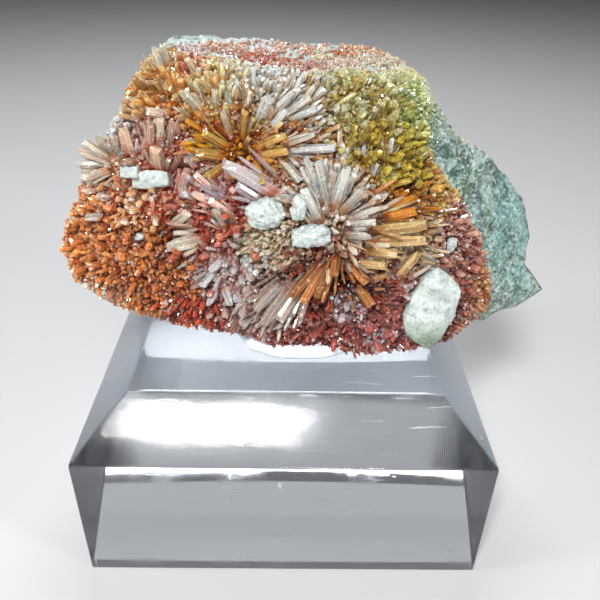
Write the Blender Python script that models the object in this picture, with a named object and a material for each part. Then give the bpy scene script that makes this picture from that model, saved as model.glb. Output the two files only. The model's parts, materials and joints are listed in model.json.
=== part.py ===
"""A creedite cluster on its rock, held by a lump of putty on a clear acrylic block.

Blender 4.5, metres, +Z up. The origin is the centre of the block's underside: X runs to the right of the
crystal face, Y to the back and Z up. Sizes are written in millimetres and turned to metres where a mesh is made.

The specimen is laid out on its own leaning face: u runs to the right, v up along the face and w out of it.
"""

import math

import bmesh
import bpy
from mathutils import Vector, noise
from mathutils.geometry import delaunay_2d_cdt

MM = 0.001
GAP = 0.3

# Acrylic block, a stock two inch square with a quarter inch bevel.
BLOCK_WIDTH = 50.8
BLOCK_HEIGHT = 25.4
BLOCK_BEVEL = 6.35
BLOCK_EDGE = 0.25

# Putty disc between the block and the specimen.
PUTTY_CENTRE = (2.0, -3.2)
PUTTY_RADIUS = 10.2
PUTTY_HEIGHT = 1.6
PUTTY_BULGE = 0.5
PUTTY_SIDES = 28

# The leaning face: where it starts above the block and how far it leans back.
FACE_FOOT_Y = -14.3
FACE_FOOT_Z = 26.6
FACE_LEAN = math.radians(20.0)
FACE_MIDDLE = (0.0, 19.0)

# Lowest the specimen reaches: the crust's lip in front of the putty, and everything behind it.
LIP_Z = 26.3
LIP_Y = -13.9
UNDERSIDE_Z = 27.6
UNDERSIDE_Y = -13.4

# Rock: the level of its front, the slopes at its four sides, and its back.
BED_LEVEL = -3.2
SIDE_SLOPES = (
    # axis of the slope (u, v), where it starts, how fast it falls, how soft it starts
    ((1.0, 0.0), 16.0, 0.42, 2.0),
    ((0.0, 1.0), 33.5, 1.05, 1.2),
    ((-1.0, 0.0), 21.0, 0.55, 2.0),
    ((0.0, -1.0), -5.0, 0.35, 1.5),
)
ROCK_BACK_LEVEL = -21.0
ROCK_BACK_BULGE = 2.5
ROCK_ROUGHNESS = 0.7
ROCK_LEDGE_HEIGHT = 1.1

# Flat broken faces at the rock's back: the way each faces, and how far it is from the rock's middle.
ROCK_MIDDLE = (3.0, 4.0, 43.0)
BROKEN_FACES = (
    ((0.10, 1.0, 0.20), 13.2),
    ((-0.75, 0.65, 0.15), 20.5),
    ((0.80, 0.62, -0.15), 20.0),
    ((0.10, 0.60, 0.80), 17.6),
    ((-0.45, 0.55, 0.70), 20.5),
    ((0.15, 0.62, -0.77), 16.6),
    ((0.55, 0.65, 0.50), 19.6),
)

# Outline of the rock's front edge, seen square to the face.
ROCK_OUTLINE = (
    (35.3, 7.8), (34.7, 9.2), (32.1, 13.0), (33.2, 15.4), (30.9, 19.8), (30.0, 21.4), (26.1, 24.0),
    (22.2, 26.9), (19.6, 28.0), (18.0, 31.4), (16.6, 34.3), (14.7, 36.0), (13.3, 37.7), (11.4, 38.6),
    (7.2, 38.8), (2.2, 39.0), (-1.4, 39.3), (-5.6, 40.2), (-9.2, 40.4), (-14.2, 40.2), (-16.8, 38.8),
    (-17.0, 34.0), (-20.0, 26.5),
    (-24.2, 22.0), (-24.5, 18.5), (-26.5, 14.5), (-25.6, 10.2), (-19.0, 7.8), (-13.5, 6.4), (-4.0, 5.2),
    (1.4, 4.2), (11.6, 3.9), (20.0, 4.6), (26.0, 3.2), (30.2, 4.0), (32.8, 5.2),
)

# Outline of the crust, which stops short of the rock at the top and the right and wraps round it elsewhere.
CRUST_OUTLINE = (
    (25.3, 11.7), (24.9, 14.9), (23.6, 16.0), (21.7, 19.1), (20.6, 20.9), (18.2, 23.2), (16.9, 24.5),
    (16.2, 26.8), (16.3, 28.8), (15.7, 33.4), (13.3, 34.4), (10.4, 34.0), (6.9, 34.6), (3.4, 34.2),
    (-0.1, 34.5), (-4.1, 35.1), (-8.2, 35.7), (-11.6, 36.1), (-15.0, 37.0), (-16.6, 36.0), (-17.2, 34.3),
    (-18.5, 32.1), (-20.1, 28.5), (-21.8, 25.6), (-24.8, 22.6), (-25.6, 19.5), (-27.8, 15.6),
    (-28.4, 12.9), (-27.1, 9.4), (-23.5, 7.4), (-20.1, 6.4), (-14.2, 4.5), (-9.8, 3.6), (-4.8, 3.0),
    (-2.1, 1.2), (1.4, 0.6), (5.4, -0.1), (7.8, 0.9), (11.6, 0.2), (14.3, 1.1), (19.1, 1.9), (22.0, 2.8),
    (26.6, 6.1), (26.8, 8.1),
)
OUTLINE_SIDES = 60
BED_MARGIN = 0.7
ROCK_EDGE = 1.0
ROCK_EDGE_DROP = 1.2
BARE_WIDTH = 4.0
BED_SPACING = 4.6
CRUST_SPACING = 3.1
BACK_SPACING = 5.2

# Crust: its thickness, and the mounds and hollows of its surface as (u, v, radius, height).
CRUST_THICKNESS = 2.5
CRUST_LEAST = 1.3
CRUST_GRAIN = 0.8
CRUST_WRAP = 3.6
MOUNDS = {
    "central spray": (5.0, 17.0, 5.5, 2.2),
    "shelf under the white lumps": (-1.5, 18.0, 4.0, 1.0),
    "left crust": (-20.0, 14.0, 6.5, 1.8),
    "left knob": (-20.8, 24.0, 2.6, 1.4),
    "golden mass": (-14.0, 31.0, 4.5, 1.5),
    "rim of the golden flower": (-6.0, 25.5, 6.0, 1.8),
    "hollow of the golden flower": (-6.2, 25.3, 2.2, -3.6),
    "clear cushion": (0.0, 31.0, 3.5, 0.8),
    "olive druse": (9.0, 28.0, 5.5, 1.3),
    "right druse": (20.5, 13.5, 4.5, 0.8),
    "foot of the large white lump": (17.5, 5.0, 4.0, 0.8),
    "root of the tan bundle": (0.5, 9.0, 3.5, 1.2),
    "dark hollow": (6.0, 10.4, 1.6, -2.2),
    "left hollow": (-13.3, 16.4, 1.3, -2.2),
    "gap beside the tablet": (-13.2, 22.6, 1.4, -2.0),
}

# The crystals that stand out one by one, as (root u, root v), (tip u, tip v), lift of the tip above its root, width.
MAIN_CRYSTALS = {
    "lilac prisms beside the lumps": (
        ((-1.2, 20.5), (-7.3, 24.0), 2.2, 1.9),
        ((-3.2, 19.7), (-6.0, 21.6), 1.6, 1.3),
        ((-7.2, 19.7), (-10.1, 21.4), 1.6, 1.0),
    ),
    "central spray": (
        ((4.4, 18.6), (1.8, 24.8), 3.2, 1.1),
        ((4.8, 18.9), (3.2, 24.5), 3.8, 1.1),
        ((5.3, 19.0), (6.3, 23.6), 4.2, 1.6),
        ((6.2, 18.6), (8.2, 21.4), 4.0, 1.1),
        ((6.8, 17.8), (10.3, 19.4), 3.4, 1.0),
        ((6.9, 17.1), (9.9, 17.8), 3.6, 1.0),
        ((6.6, 16.0), (9.4, 16.2), 3.8, 1.1),
        ((3.8, 17.2), (1.6, 21.4), 3.6, 1.2),
    ),
    "golden crystals to the right": (
        ((10.0, 16.2), (16.2, 17.4), 2.2, 1.9),
        ((9.4, 15.0), (16.1, 15.6), 2.4, 1.4),
        ((9.2, 14.2), (12.8, 13.8), 2.4, 1.3),
        ((11.2, 18.6), (15.0, 20.5), 1.6, 1.4),
        ((11.0, 17.8), (14.8, 19.0), 2.2, 1.3),
        ((8.4, 12.4), (11.6, 12.4), 2.2, 1.2),
        ((13.6, 10.6), (15.8, 14.0), 1.8, 1.4),
    ),
    "clear fan": (
        ((-2.4, 29.4), (0.9, 32.3), 1.8, 1.1),
        ((-0.9, 29.4), (2.2, 31.4), 2.2, 0.9),
        ((-0.6, 28.9), (3.2, 30.2), 2.0, 0.9),
        ((-4.0, 28.0), (-2.3, 31.3), 2.4, 1.6),
        ((-2.8, 27.6), (-0.4, 29.9), 2.8, 1.1),
        ((-1.2, 25.5), (5.2, 26.0), 2.0, 1.2),
        ((-0.8, 26.2), (2.8, 27.4), 2.6, 1.0),
        ((-1.4, 25.2), (1.4, 22.2), 2.0, 1.2),
    ),
    "golden flower": (
        ((-4.4, 25.8), (-0.4, 27.2), 2.4, 1.2),
        ((-4.2, 24.9), (-0.2, 25.5), 2.8, 1.1),
        ((-4.2, 24.2), (-3.0, 21.8), 2.6, 1.3),
        ((-7.4, 25.9), (-9.8, 27.4), 2.2, 1.1),
        ((-7.0, 26.9), (-7.6, 29.8), 2.0, 1.1),
        ((-5.6, 26.9), (-5.0, 29.8), 2.4, 1.1),
        ((-8.0, 24.8), (-10.8, 25.2), 2.0, 1.5),
        ((-7.6, 24.0), (-9.6, 22.4), 1.8, 1.1),
    ),
    "golden mass": (
        ((-14.9, 34.4), (-15.6, 36.9), 1.6, 1.0),
        ((-14.2, 34.8), (-14.6, 37.2), 1.4, 0.9),
        ((-10.4, 29.8), (-12.0, 31.6), 2.2, 1.2),
        ((-8.4, 29.9), (-8.5, 32.2), 1.8, 0.9),
        ((-7.0, 29.8), (-7.1, 32.0), 1.8, 0.9),
    ),
    "tall red crystals": (
        ((-16.1, 25.4), (-15.7, 28.6), 1.6, 1.1),
        ((-15.1, 25.4), (-14.5, 28.9), 1.9, 1.1),
        ((-14.1, 25.6), (-13.2, 28.6), 1.6, 1.1),
        ((-13.2, 29.2), (-16.2, 29.6), 1.4, 1.3),
        ((-12.3, 23.4), (-12.6, 20.0), 1.4, 1.2),
        ((-15.4, 23.2), (-15.2, 25.6), 2.2, 1.8),
        ((-18.6, 25.0), (-18.9, 27.8), 1.4, 1.6),
    ),
    "left knob": (
        ((-20.8, 23.9), (-24.0, 25.2), 2.0, 1.2),
        ((-20.6, 23.2), (-23.6, 22.0), 1.6, 1.1),
        ((-20.8, 24.6), (-21.9, 26.8), 2.2, 1.1),
        ((-20.0, 24.4), (-19.9, 26.9), 2.0, 1.0),
        ((-21.2, 23.5), (-24.3, 23.6), 2.6, 1.0),
    ),
    "left crust": (
        ((-22.2, 17.4), (-24.2, 17.4), 1.2, 1.1),
        ((-14.2, 16.4), (-11.8, 18.3), 1.2, 1.4),
        ((-10.3, 15.0), (-14.4, 14.1), 1.4, 1.8),
        ((-7.4, 16.6), (-8.4, 19.0), 1.6, 1.6),
    ),
    "tan bundle": (
        ((1.0, 10.4), (-2.9, 5.2), 2.0, 1.7),
        ((1.8, 10.0), (-1.0, 5.6), 1.8, 1.6),
        ((0.0, 10.6), (-3.8, 6.8), 2.2, 1.4),
    ),
    "red fan": (
        ((4.6, 13.2), (0.4, 8.6), 2.4, 1.3),
        ((4.8, 12.8), (1.8, 8.0), 2.8, 1.3),
        ((5.2, 12.6), (3.4, 8.6), 3.0, 1.3),
        ((5.9, 13.4), (5.4, 11.3), 3.2, 1.3),
        ((7.2, 12.8), (9.4, 10.2), 2.2, 1.3),
        ((7.8, 10.6), (10.4, 7.2), 1.8, 1.4),
        ((9.4, 9.8), (12.1, 11.2), 1.4, 1.1),
    ),
    "lower left clear mass": (
        ((-7.4, 12.9), (-9.4, 11.3), 2.0, 1.2),
        ((-8.8, 11.3), (-10.4, 9.4), 1.8, 1.1),
        ((-8.0, 9.4), (-6.9, 7.0), 1.6, 1.1),
    ),
}

# Small crystals that fill the rest, region by region. Each grows away from a point that lies "depth" below the
# region's focus, so a shallow focus makes a spray and a deep one a druse.
REGIONS = {
    # name: centre (u, v), half width, half height, focus (u, v), depth, number, length, width
    "left crust": ((-20.6, 13.0), 6.8, 5.4, (-18.0, 13.5), 9.0, 22, 2.3, 1.3),
    "left knob": ((-21.6, 23.6), 2.4, 2.4, (-20.6, 23.8), 2.0, 5, 2.6, 0.9),
    "golden mass": ((-13.4, 30.8), 3.6, 3.6, (-11.5, 27.0), 7.0, 13, 2.4, 1.1),
    "golden flower": ((-6.2, 26.2), 4.6, 4.2, (-6.0, 25.2), 2.5, 12, 3.0, 1.0),
    "clear fan": ((0.8, 29.2), 4.4, 3.6, (-3.0, 25.5), 4.0, 9, 3.0, 0.9),
    "olive druse": ((9.6, 28.4), 5.6, 4.8, (8.0, 25.0), 14.0, 15, 2.2, 1.4),
    "central spray": ((5.6, 17.4), 5.2, 5.0, (5.3, 17.0), 3.0, 17, 4.2, 0.9),
    "right druse": ((21.2, 13.4), 3.8, 5.4, (17.0, 13.0), 9.0, 13, 2.2, 1.3),
    "between spray and druse": ((14.6, 22.6), 3.4, 2.6, (10.0, 20.0), 9.0, 7, 2.4, 1.2),
    "red foot": ((8.6, 5.0), 6.2, 3.0, (8.0, 9.0), 7.0, 11, 2.2, 1.3),
    "left foot": ((-11.5, 7.6), 5.6, 2.6, (-9.0, 12.0), 7.0, 9, 2.2, 1.1),
    "lower left mass": ((-8.4, 12.2), 3.4, 2.8, (-7.0, 13.5), 4.0, 7, 2.6, 1.0),
    "red heart": ((-10.2, 19.2), 3.6, 2.6, (-8.0, 18.0), 5.0, 7, 2.4, 1.1),
}
GOLDEN_ANGLE = math.pi * (3.0 - math.sqrt(5.0))
ROOT_DEPTH = 0.7
CRYSTAL_SINK = 0.35
CRYSTAL_FLATNESS = 0.72
CHISEL_LENGTH = 1.1
CHISEL_EDGE = 0.45
SIX_SIDES = ((1.0, 0.1), (0.5, 1.0), (-0.5, 1.0), (-1.0, -0.1), (-0.5, -1.0), (0.5, -1.0))
FOUR_SIDES = ((0.9, 0.8), (-0.8, 0.9), (-0.9, -0.8), (0.8, -0.9))

# White opaque lumps as (u, v), half sizes along u, v and w, turn in the face, height of the middle over the crust.
WHITE_LUMPS = {
    "white_tablet": ((-16.1, 22.0), (2.1, 0.95, 0.75), 4.0, 0.5),
    "white_lump_left": ((-2.7, 18.5), (2.3, 1.9, 1.3), 8.0, 0.7),
    "white_lump_middle": ((1.2, 19.1), (1.05, 1.6, 1.1), -12.0, 0.7),
    "white_block": ((2.7, 15.9), (2.3, 1.3, 1.1), 6.0, 0.8),
    "large_white_lump": ((17.8, 6.9), (2.75, 4.6, 1.7), -14.0, 0.7),
    "white_grain_left": ((-17.8, 15.3), (0.65, 0.5, 0.45), 20.0, 0.1),
    "white_grain_right": ((20.2, 14.7), (0.65, 0.95, 0.5), -10.0, 0.1),
}
LUMP_SQUARENESS = {
    "white_tablet": 4.5,
    "white_block": 3.5,
    "large_white_lump": 3.0,
    "white_grain_right": 4.0,
}
LUMP_ROUNDNESS = 2.4
LUMP_ROUGHNESS = 0.08
LUMP_CLEARANCE = 0.5


def clear_scene():
    for thing in list(bpy.data.objects):
        bpy.data.objects.remove(thing, do_unlink=True)


def material(name, colour, roughness, metallic=0.0):
    """A plain Principled material; colour is linear red, green and blue."""
    made = bpy.data.materials.new(name)
    made.use_nodes = True
    shader = made.node_tree.nodes["Principled BSDF"]
    shader.inputs["Base Color"].default_value = (*colour, 1.0)
    shader.inputs["Roughness"].default_value = roughness
    shader.inputs["Metallic"].default_value = metallic
    return made


def face_axes():
    """The face's right, up and outward directions in the world."""
    lean = math.sin(FACE_LEAN)
    rise = math.cos(FACE_LEAN)
    return Vector((1.0, 0.0, 0.0)), Vector((0.0, lean, rise)), Vector((0.0, -rise, lean))


def world_point(u, v, w):
    """A point of the leaning face in world millimetres."""
    right, up, outward = face_axes()
    return Vector((0.0, FACE_FOOT_Y, FACE_FOOT_Z)) + u * right + v * up + w * outward


def soft_ramp(distance, softness):
    """Zero before a slope starts, the distance past it afterwards, and smooth between."""
    if distance > 12.0 * softness:
        return distance
    return softness * math.log1p(math.exp(distance / softness))


def rock_face(u, v):
    """Height of the rock's front, under the crust and beside it."""
    height = BED_LEVEL
    for (along_u, along_v), start, fall, softness in SIDE_SLOPES:
        height -= fall * soft_ramp(u * along_u + v * along_v - start, softness)
    return height


def crust_face(u, v):
    """Height of the crust's front, with its mounds and hollows."""
    thickness = CRUST_THICKNESS
    for mound_u, mound_v, radius, rise in MOUNDS.values():
        distance_squared = (u - mound_u) ** 2 + (v - mound_v) ** 2
        thickness += rise * math.exp(-distance_squared / (2.0 * radius**2))
    thickness += CRUST_GRAIN * noise.noise(Vector((u * 0.9, v * 0.9, 3.0)))
    return rock_face(u, v) + max(thickness, CRUST_LEAST)


def seat_height(u, v, width):
    """Height of a crystal's root: in the crust, and clear of the rock under it."""
    return max(crust_face(u, v) - ROOT_DEPTH, rock_face(u, v) + GAP + 0.1 + 0.6 * width)


def outline_radius(outline, angle):
    """Distance from the face's middle to an outline, along a direction."""
    away = (math.cos(angle), math.sin(angle))
    reach = 0.0
    for first, second in zip(outline, outline[1:] + outline[:1]):
        start = (first[0] - FACE_MIDDLE[0], first[1] - FACE_MIDDLE[1])
        step = (second[0] - first[0], second[1] - first[1])
        across = away[0] * step[1] - away[1] * step[0]
        if abs(across) < 1e-9:
            continue
        distance = (start[0] * step[1] - start[1] * step[0]) / across
        share = (start[0] * away[1] - start[1] * away[0]) / across
        if distance > 0.0 and -1e-6 <= share <= 1.0 + 1e-6:
            reach = max(reach, distance)
    return reach


def polar_loop(radii):
    """Face points at the given distances from the middle, evenly round it."""
    points = []
    for side, radius in enumerate(radii):
        angle = 2.0 * math.pi * side / len(radii)
        points.append((FACE_MIDDLE[0] + radius * math.cos(angle), FACE_MIDDLE[1] + radius * math.sin(angle)))
    return points


def sheet_triangles(loop, spacing, unevenness=0.22):
    """Fill a closed loop with evenly spread points and triangles, counter-clockwise."""
    radii = [math.dist(point, FACE_MIDDLE) for point in loop]
    points = [Vector(point) for point in loop]
    reach = max(radii)
    rows = int(reach / spacing) + 2
    for row in range(-rows, rows + 1):
        for column in range(-rows, rows + 1):
            u = FACE_MIDDLE[0] + (column + 0.5 * (row % 2)) * spacing
            v = FACE_MIDDLE[1] + row * spacing * 0.866
            u += spacing * unevenness * noise.noise(Vector((u, v, 11.0)))
            v += spacing * unevenness * noise.noise(Vector((u, v, 23.0)))
            turn = math.atan2(v - FACE_MIDDLE[1], u - FACE_MIDDLE[0]) % (2.0 * math.pi)
            edge = radii[int(round(turn / (2.0 * math.pi) * len(radii))) % len(radii)]
            if math.dist((u, v), FACE_MIDDLE) < edge - 0.62 * spacing:
                points.append(Vector((u, v)))
    filled = delaunay_2d_cdt(points, [], [list(range(len(loop)))], 1, 1e-6)
    return [tuple(point) for point in points], [tuple(face) for face in filled[2]]


def skin(name, front, loops, back, finish):
    """A closed body: a front sheet, loops of wall points from front to back, and a back sheet.

    Each sheet is (world points, triangles), and its first points are its edge loop.
    """
    work = bmesh.new()
    front_points, front_faces = front
    back_points, back_faces = back
    front_vertices = [work.verts.new(point * MM) for point in front_points]
    back_vertices = [work.verts.new(point * MM) for point in back_points]
    for face in front_faces:
        work.faces.new([front_vertices[index] for index in face])
    for face in back_faces:
        work.faces.new([back_vertices[index] for index in reversed(face)])
    rings = [front_vertices[:OUTLINE_SIDES]]
    rings += [[work.verts.new(point * MM) for point in loop] for loop in loops]
    rings.append(back_vertices[:OUTLINE_SIDES])
    for outer, inner in zip(rings, rings[1:]):
        for side in range(OUTLINE_SIDES):
            following = (side + 1) % OUTLINE_SIDES
            work.faces.new((outer[following], outer[side], inner[side], inner[following]))
    bmesh.ops.triangulate(work, faces=work.faces[:])
    bmesh.ops.recalc_face_normals(work, faces=work.faces[:])
    return finished(name, work, finish)


def finished(name, work, finish):
    """Turn a bmesh into a named object with its material."""
    mesh = bpy.data.meshes.new(name)
    work.to_mesh(mesh)
    work.free()
    made = bpy.data.objects.new(name, mesh)
    bpy.context.collection.objects.link(made)
    made.data.materials.append(finish)
    return made


def chipped(point, strength, seed):
    """Push a world point about, for broken rock."""
    spot = point * 0.16
    shift = Vector((
        noise.noise(spot + Vector((seed, 0.0, 0.0))),
        noise.noise(spot + Vector((0.0, seed, 5.0))),
        noise.noise(spot + Vector((7.0, 0.0, seed))),
    ))
    return point + strength * 2.0 * shift


def broken_off(point):
    """Bring a point back to the rock's broken faces where it stands out past one."""
    for facing, distance in BROKEN_FACES:
        outward = Vector(facing).normalized()
        excess = (point - Vector(ROCK_MIDDLE)).dot(outward) - distance
        point = point - max(excess, 0.0) * outward
    return point


def lifted(point):
    """Keep a point of the specimen above the block and the putty."""
    share = min(max((point.y - LIP_Y) / (UNDERSIDE_Y - LIP_Y), 0.0), 1.0)
    lowest = LIP_Z + share * (UNDERSIDE_Z - LIP_Z)
    return Vector((point.x, point.y, max(point.z, lowest)))


def outline_radii():
    """The shared bed's, the rock's and the crust's distances from the middle."""
    angles = [2.0 * math.pi * side / OUTLINE_SIDES for side in range(OUTLINE_SIDES)]
    rock = [outline_radius(ROCK_OUTLINE, angle) for angle in angles]
    crust = [outline_radius(CRUST_OUTLINE, angle) for angle in angles]
    bed = [min(outer - ROCK_EDGE, inner - BED_MARGIN) for outer, inner in zip(rock, crust)]
    return bed, rock, crust


def between(near, far, share):
    return near + (far - near) * share


def ledge(u, v):
    """A step across the bare rock at the right, and smaller ones along the top."""
    step = 1.0 / (1.0 + math.exp(-(u - 24.6 + 0.5 * (v - 17.5)) * 2.5))
    return ROCK_LEDGE_HEIGHT * (step - 1.0) * (1.0 if u > 17.0 else 0.0)


def make_rock(bed, rock, crust, finish):
    """The host rock: its bed under the crust, its bare rim, its sides and its rough back."""
    bed_points, bed_faces = sheet_triangles(polar_loop(bed), BED_SPACING)
    front = [lifted(world_point(u, v, rock_face(u, v))) for u, v in bed_points]
    loops = []
    for share in (0.3, 0.65, 1.0):
        ring = []
        places = polar_loop([between(near, far, share) for near, far in zip(bed, rock)])
        for (u, v), outer, inner in zip(places, rock, crust):
            bare = min(max((outer - inner) / BARE_WIDTH, 0.15), 1.0)
            height = rock_face(u, v) + share * ledge(u, v) - ROCK_EDGE_DROP * share**3
            ring.append(lifted(chipped(world_point(u, v, height), bare * share * ROCK_ROUGHNESS, 4.0)))
        loops.append(ring)
    for share, size in ((0.3, 1.015), (0.65, 0.99)):
        ring = []
        for u, v in polar_loop([radius * size for radius in rock]):
            height = between(rock_face(u, v) - ROCK_EDGE_DROP, ROCK_BACK_LEVEL, share)
            ring.append(lifted(chipped(broken_off(world_point(u, v, height)), ROCK_ROUGHNESS, 9.0)))
        loops.append(ring)
    back_loop = polar_loop([radius * 0.84 for radius in rock])
    back_points, back_faces = sheet_triangles(back_loop, BACK_SPACING)
    back = []
    for index, (u, v) in enumerate(back_points):
        bulge = 0.0 if index < OUTLINE_SIDES else ROCK_BACK_BULGE
        bulge *= 1.0 - (math.dist((u, v), FACE_MIDDLE) / 34.0) ** 2
        whole = world_point(u, v, ROCK_BACK_LEVEL - bulge)
        back.append(lifted(chipped(broken_off(whole), ROCK_ROUGHNESS, 9.0)))
    return skin("matrix_rock", (front, bed_faces), loops, (back, back_faces), finish)


def make_crust(bed, rock, crust, finish):
    """The creedite crust without its crystals: a sheet that lies on the bed and wraps round the rock."""
    front_loop = polar_loop([radius - 0.5 for radius in crust])
    front_points, front_faces = sheet_triangles(front_loop, CRUST_SPACING)
    front = [lifted(world_point(u, v, crust_face(u, v) - 0.25)) for u, v in front_points]
    rim = []
    for side, (u, v) in enumerate(polar_loop(crust)):
        overhang = min(max(crust[side] - rock[side], 0.0), 1.0)
        height = between(rock_face(u, v) + 0.55, crust_face(u, v) - CRUST_WRAP, overhang)
        rim.append(lifted(world_point(u, v, height)))
    bed_points, bed_faces = sheet_triangles(polar_loop(bed), BED_SPACING)
    back = [lifted(world_point(u, v, rock_face(u, v))) + face_axes()[2] * (GAP + 0.05) for u, v in bed_points]
    return skin("creedite_crystals", (front, front_faces), [rim], (back, bed_faces), finish)


def crystal_frame(root, tip):
    """Directions along a crystal and across it, the flat side facing out of the rock's face."""
    along = (tip - root).normalized()
    across = along.cross(face_axes()[2])
    if across.length < 0.2:
        across = along.cross(Vector((1.0, 0.0, 0.0)))
    across.normalize()
    return along, across, across.cross(along)


def add_crystal(work, root, tip, width, spin, section):
    """A prism with a chisel tip, its root sunk in the crust; section holds the corners across it."""
    along, across, outward = crystal_frame(root, tip)
    turned = math.cos(spin) * across + math.sin(spin) * outward
    raised = math.cos(spin) * outward - math.sin(spin) * across
    half = 0.5 * width
    shoulder = tip - along * min(CHISEL_LENGTH * width, 0.45 * (tip - root).length)
    rings = []
    for middle in (root - along * CRYSTAL_SINK, shoulder):
        ring = []
        for side, rise in section:
            corner = middle + turned * (side * half) + raised * (rise * half * CRYSTAL_FLATNESS)
            ring.append(work.verts.new(corner * MM))
        rings.append(ring)
    low, high = rings
    edges = {}
    for sign in (1.0, -1.0):
        edges[sign] = work.verts.new((tip + turned * (sign * half * CHISEL_EDGE)) * MM)
    work.faces.new(low[::-1])
    for corner in range(len(section)):
        following = (corner + 1) % len(section)
        work.faces.new((low[corner], low[following], high[following], high[corner]))
        near = edges[1.0 if section[corner][0] > 0.0 else -1.0]
        far = edges[1.0 if section[following][0] > 0.0 else -1.0]
        if near is far:
            work.faces.new((high[corner], high[following], near))
        else:
            work.faces.new((high[corner], high[following], far, near))


def stands_clear(root, tip):
    """Whether a crystal misses every white lump, so that no pocket would cut it through."""
    for name, (middle, half_sizes, turn) in lump_places().items():
        axes = lump_axes(turn)
        for share in (0.0, 0.35, 0.7, 1.0):
            offset = root + share * (tip - root) - middle
            inside = sum((offset.dot(axis) / (half + LUMP_CLEARANCE)) ** 2 for axis, half in zip(axes, half_sizes))
            if inside < 1.0:
                return False
    return True


def main_crystals():
    """Roots, tips, widths and spins of the crystals that are placed one by one."""
    grown = []
    for group in MAIN_CRYSTALS.values():
        for count, ((root_u, root_v), (tip_u, tip_v), lift, width) in enumerate(group):
            root_w = seat_height(root_u, root_v, width)
            root = world_point(root_u, root_v, root_w)
            tip = world_point(tip_u, tip_v, max(root_w, seat_height(tip_u, tip_v, width)) + lift)
            grown.append((root, tip, width, 0.35 * math.sin(count * 2.3)))
    return grown


def region_crystals(centre, half_width, half_height, focus, depth, number, length, width):
    """Roots, tips, widths and spins of a region's small crystals, spread like seeds on a sunflower."""
    source = world_point(focus[0], focus[1], rock_face(*focus) - depth)
    grown = []
    for count in range(number):
        turn = count * GOLDEN_ANGLE
        spread = math.sqrt((count + 0.5) / number)
        u = centre[0] + half_width * spread * math.cos(turn)
        v = centre[1] + half_height * spread * math.sin(turn)
        root = world_point(u, v, seat_height(u, v, width))
        change = 0.5 + 0.5 * math.sin(count * 1.7 + centre[0])
        reach = length * (0.75 + 0.5 * change)
        tip = root + (root - source).normalized() * reach
        grown.append((root, tip, width * (0.8 + 0.35 * (1.0 - change)), count * 1.1))
    return grown


def make_crystals():
    """All crystals as one guide shape, to be joined with the crust."""
    work = bmesh.new()
    for root, tip, width, spin in main_crystals():
        if stands_clear(root, tip):
            add_crystal(work, root, tip, width, spin, SIX_SIDES)
    for region in REGIONS.values():
        for root, tip, width, spin in region_crystals(*region):
            if stands_clear(root, tip):
                add_crystal(work, root, tip, width, spin, FOUR_SIDES)
    bmesh.ops.recalc_face_normals(work, faces=work.faces[:])
    return guide("crystal_guide", work, bpy.data.materials["creedite"])


def guide(name, work, finish):
    """A shape that only joins or cuts another one."""
    made = finished(name, work, finish)
    made.hide_render = True
    made.display_type = "WIRE"
    return made


def lump_axes(turn):
    """A lump's own directions: across the face, along it and out of it."""
    right, up, outward = face_axes()
    angle = math.radians(turn)
    across = math.cos(angle) * right + math.sin(angle) * up
    along = math.cos(angle) * up - math.sin(angle) * right
    return across, along, outward


def lump_places():
    """Where each white lump's middle is, its half sizes and its turn."""
    places = {}
    for name, ((u, v), half_sizes, turn, stand) in WHITE_LUMPS.items():
        places[name] = (world_point(u, v, crust_face(u, v) + stand), half_sizes, turn)
    return places


def superellipsoid(work, middle, half_sizes, turn, squareness, grow):
    """A lump between an egg and a box, laid in the face."""
    axes = lump_axes(turn)
    made = bmesh.ops.create_icosphere(work, subdivisions=2, radius=1.0)
    for vertex in made["verts"]:
        way = vertex.co.normalized()
        size = sum(abs(part) ** squareness for part in way) ** (-1.0 / squareness)
        size *= 1.0 + LUMP_ROUGHNESS * noise.noise(way * 1.8 + middle)
        point = middle.copy()
        for axis, half, part in zip(axes, half_sizes, way):
            point += axis * (half * size * part + grow * part)
        vertex.co = point * MM


def make_lumps(finish):
    """The white lumps, and the shape of their pockets in the crust."""
    pockets = bmesh.new()
    for name, (middle, half_sizes, turn) in lump_places().items():
        squareness = LUMP_SQUARENESS.get(name, LUMP_ROUNDNESS)
        lump = bmesh.new()
        superellipsoid(lump, middle, half_sizes, turn, squareness, 0.0)
        finished(name, lump, finish)
        superellipsoid(pockets, middle, half_sizes, turn, squareness, GAP + 0.1)
    return guide("pocket_guide", pockets, finish)


def boolean(target, other, operation, overlapping=False):
    step = target.modifiers.new(operation.lower(), "BOOLEAN")
    step.operation = operation
    step.object = other
    step.solver = "EXACT"
    step.use_self = overlapping


def make_block(finish):
    """The clear block: upright sides, a wide bevel and a flat top."""
    work = bmesh.new()
    levels = (
        (0.5 * BLOCK_WIDTH, 0.0),
        (0.5 * BLOCK_WIDTH, BLOCK_HEIGHT - BLOCK_BEVEL),
        (0.5 * BLOCK_WIDTH - BLOCK_BEVEL, BLOCK_HEIGHT),
    )
    rings = []
    for half, height in levels:
        corners = ((-half, -half), (half, -half), (half, half), (-half, half))
        rings.append([work.verts.new(Vector((x, y, height)) * MM) for x, y in corners])
    for lower, upper in zip(rings, rings[1:]):
        for side in range(4):
            following = (side + 1) % 4
            work.faces.new((lower[side], lower[following], upper[following], upper[side]))
    work.faces.new(rings[0][::-1])
    work.faces.new(rings[-1])
    block = finished("acrylic_base", work, finish)
    edge = block.modifiers.new("polished edge", "BEVEL")
    edge.width = BLOCK_EDGE * MM
    edge.segments = 1
    edge.limit_method = "ANGLE"
    return block


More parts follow.
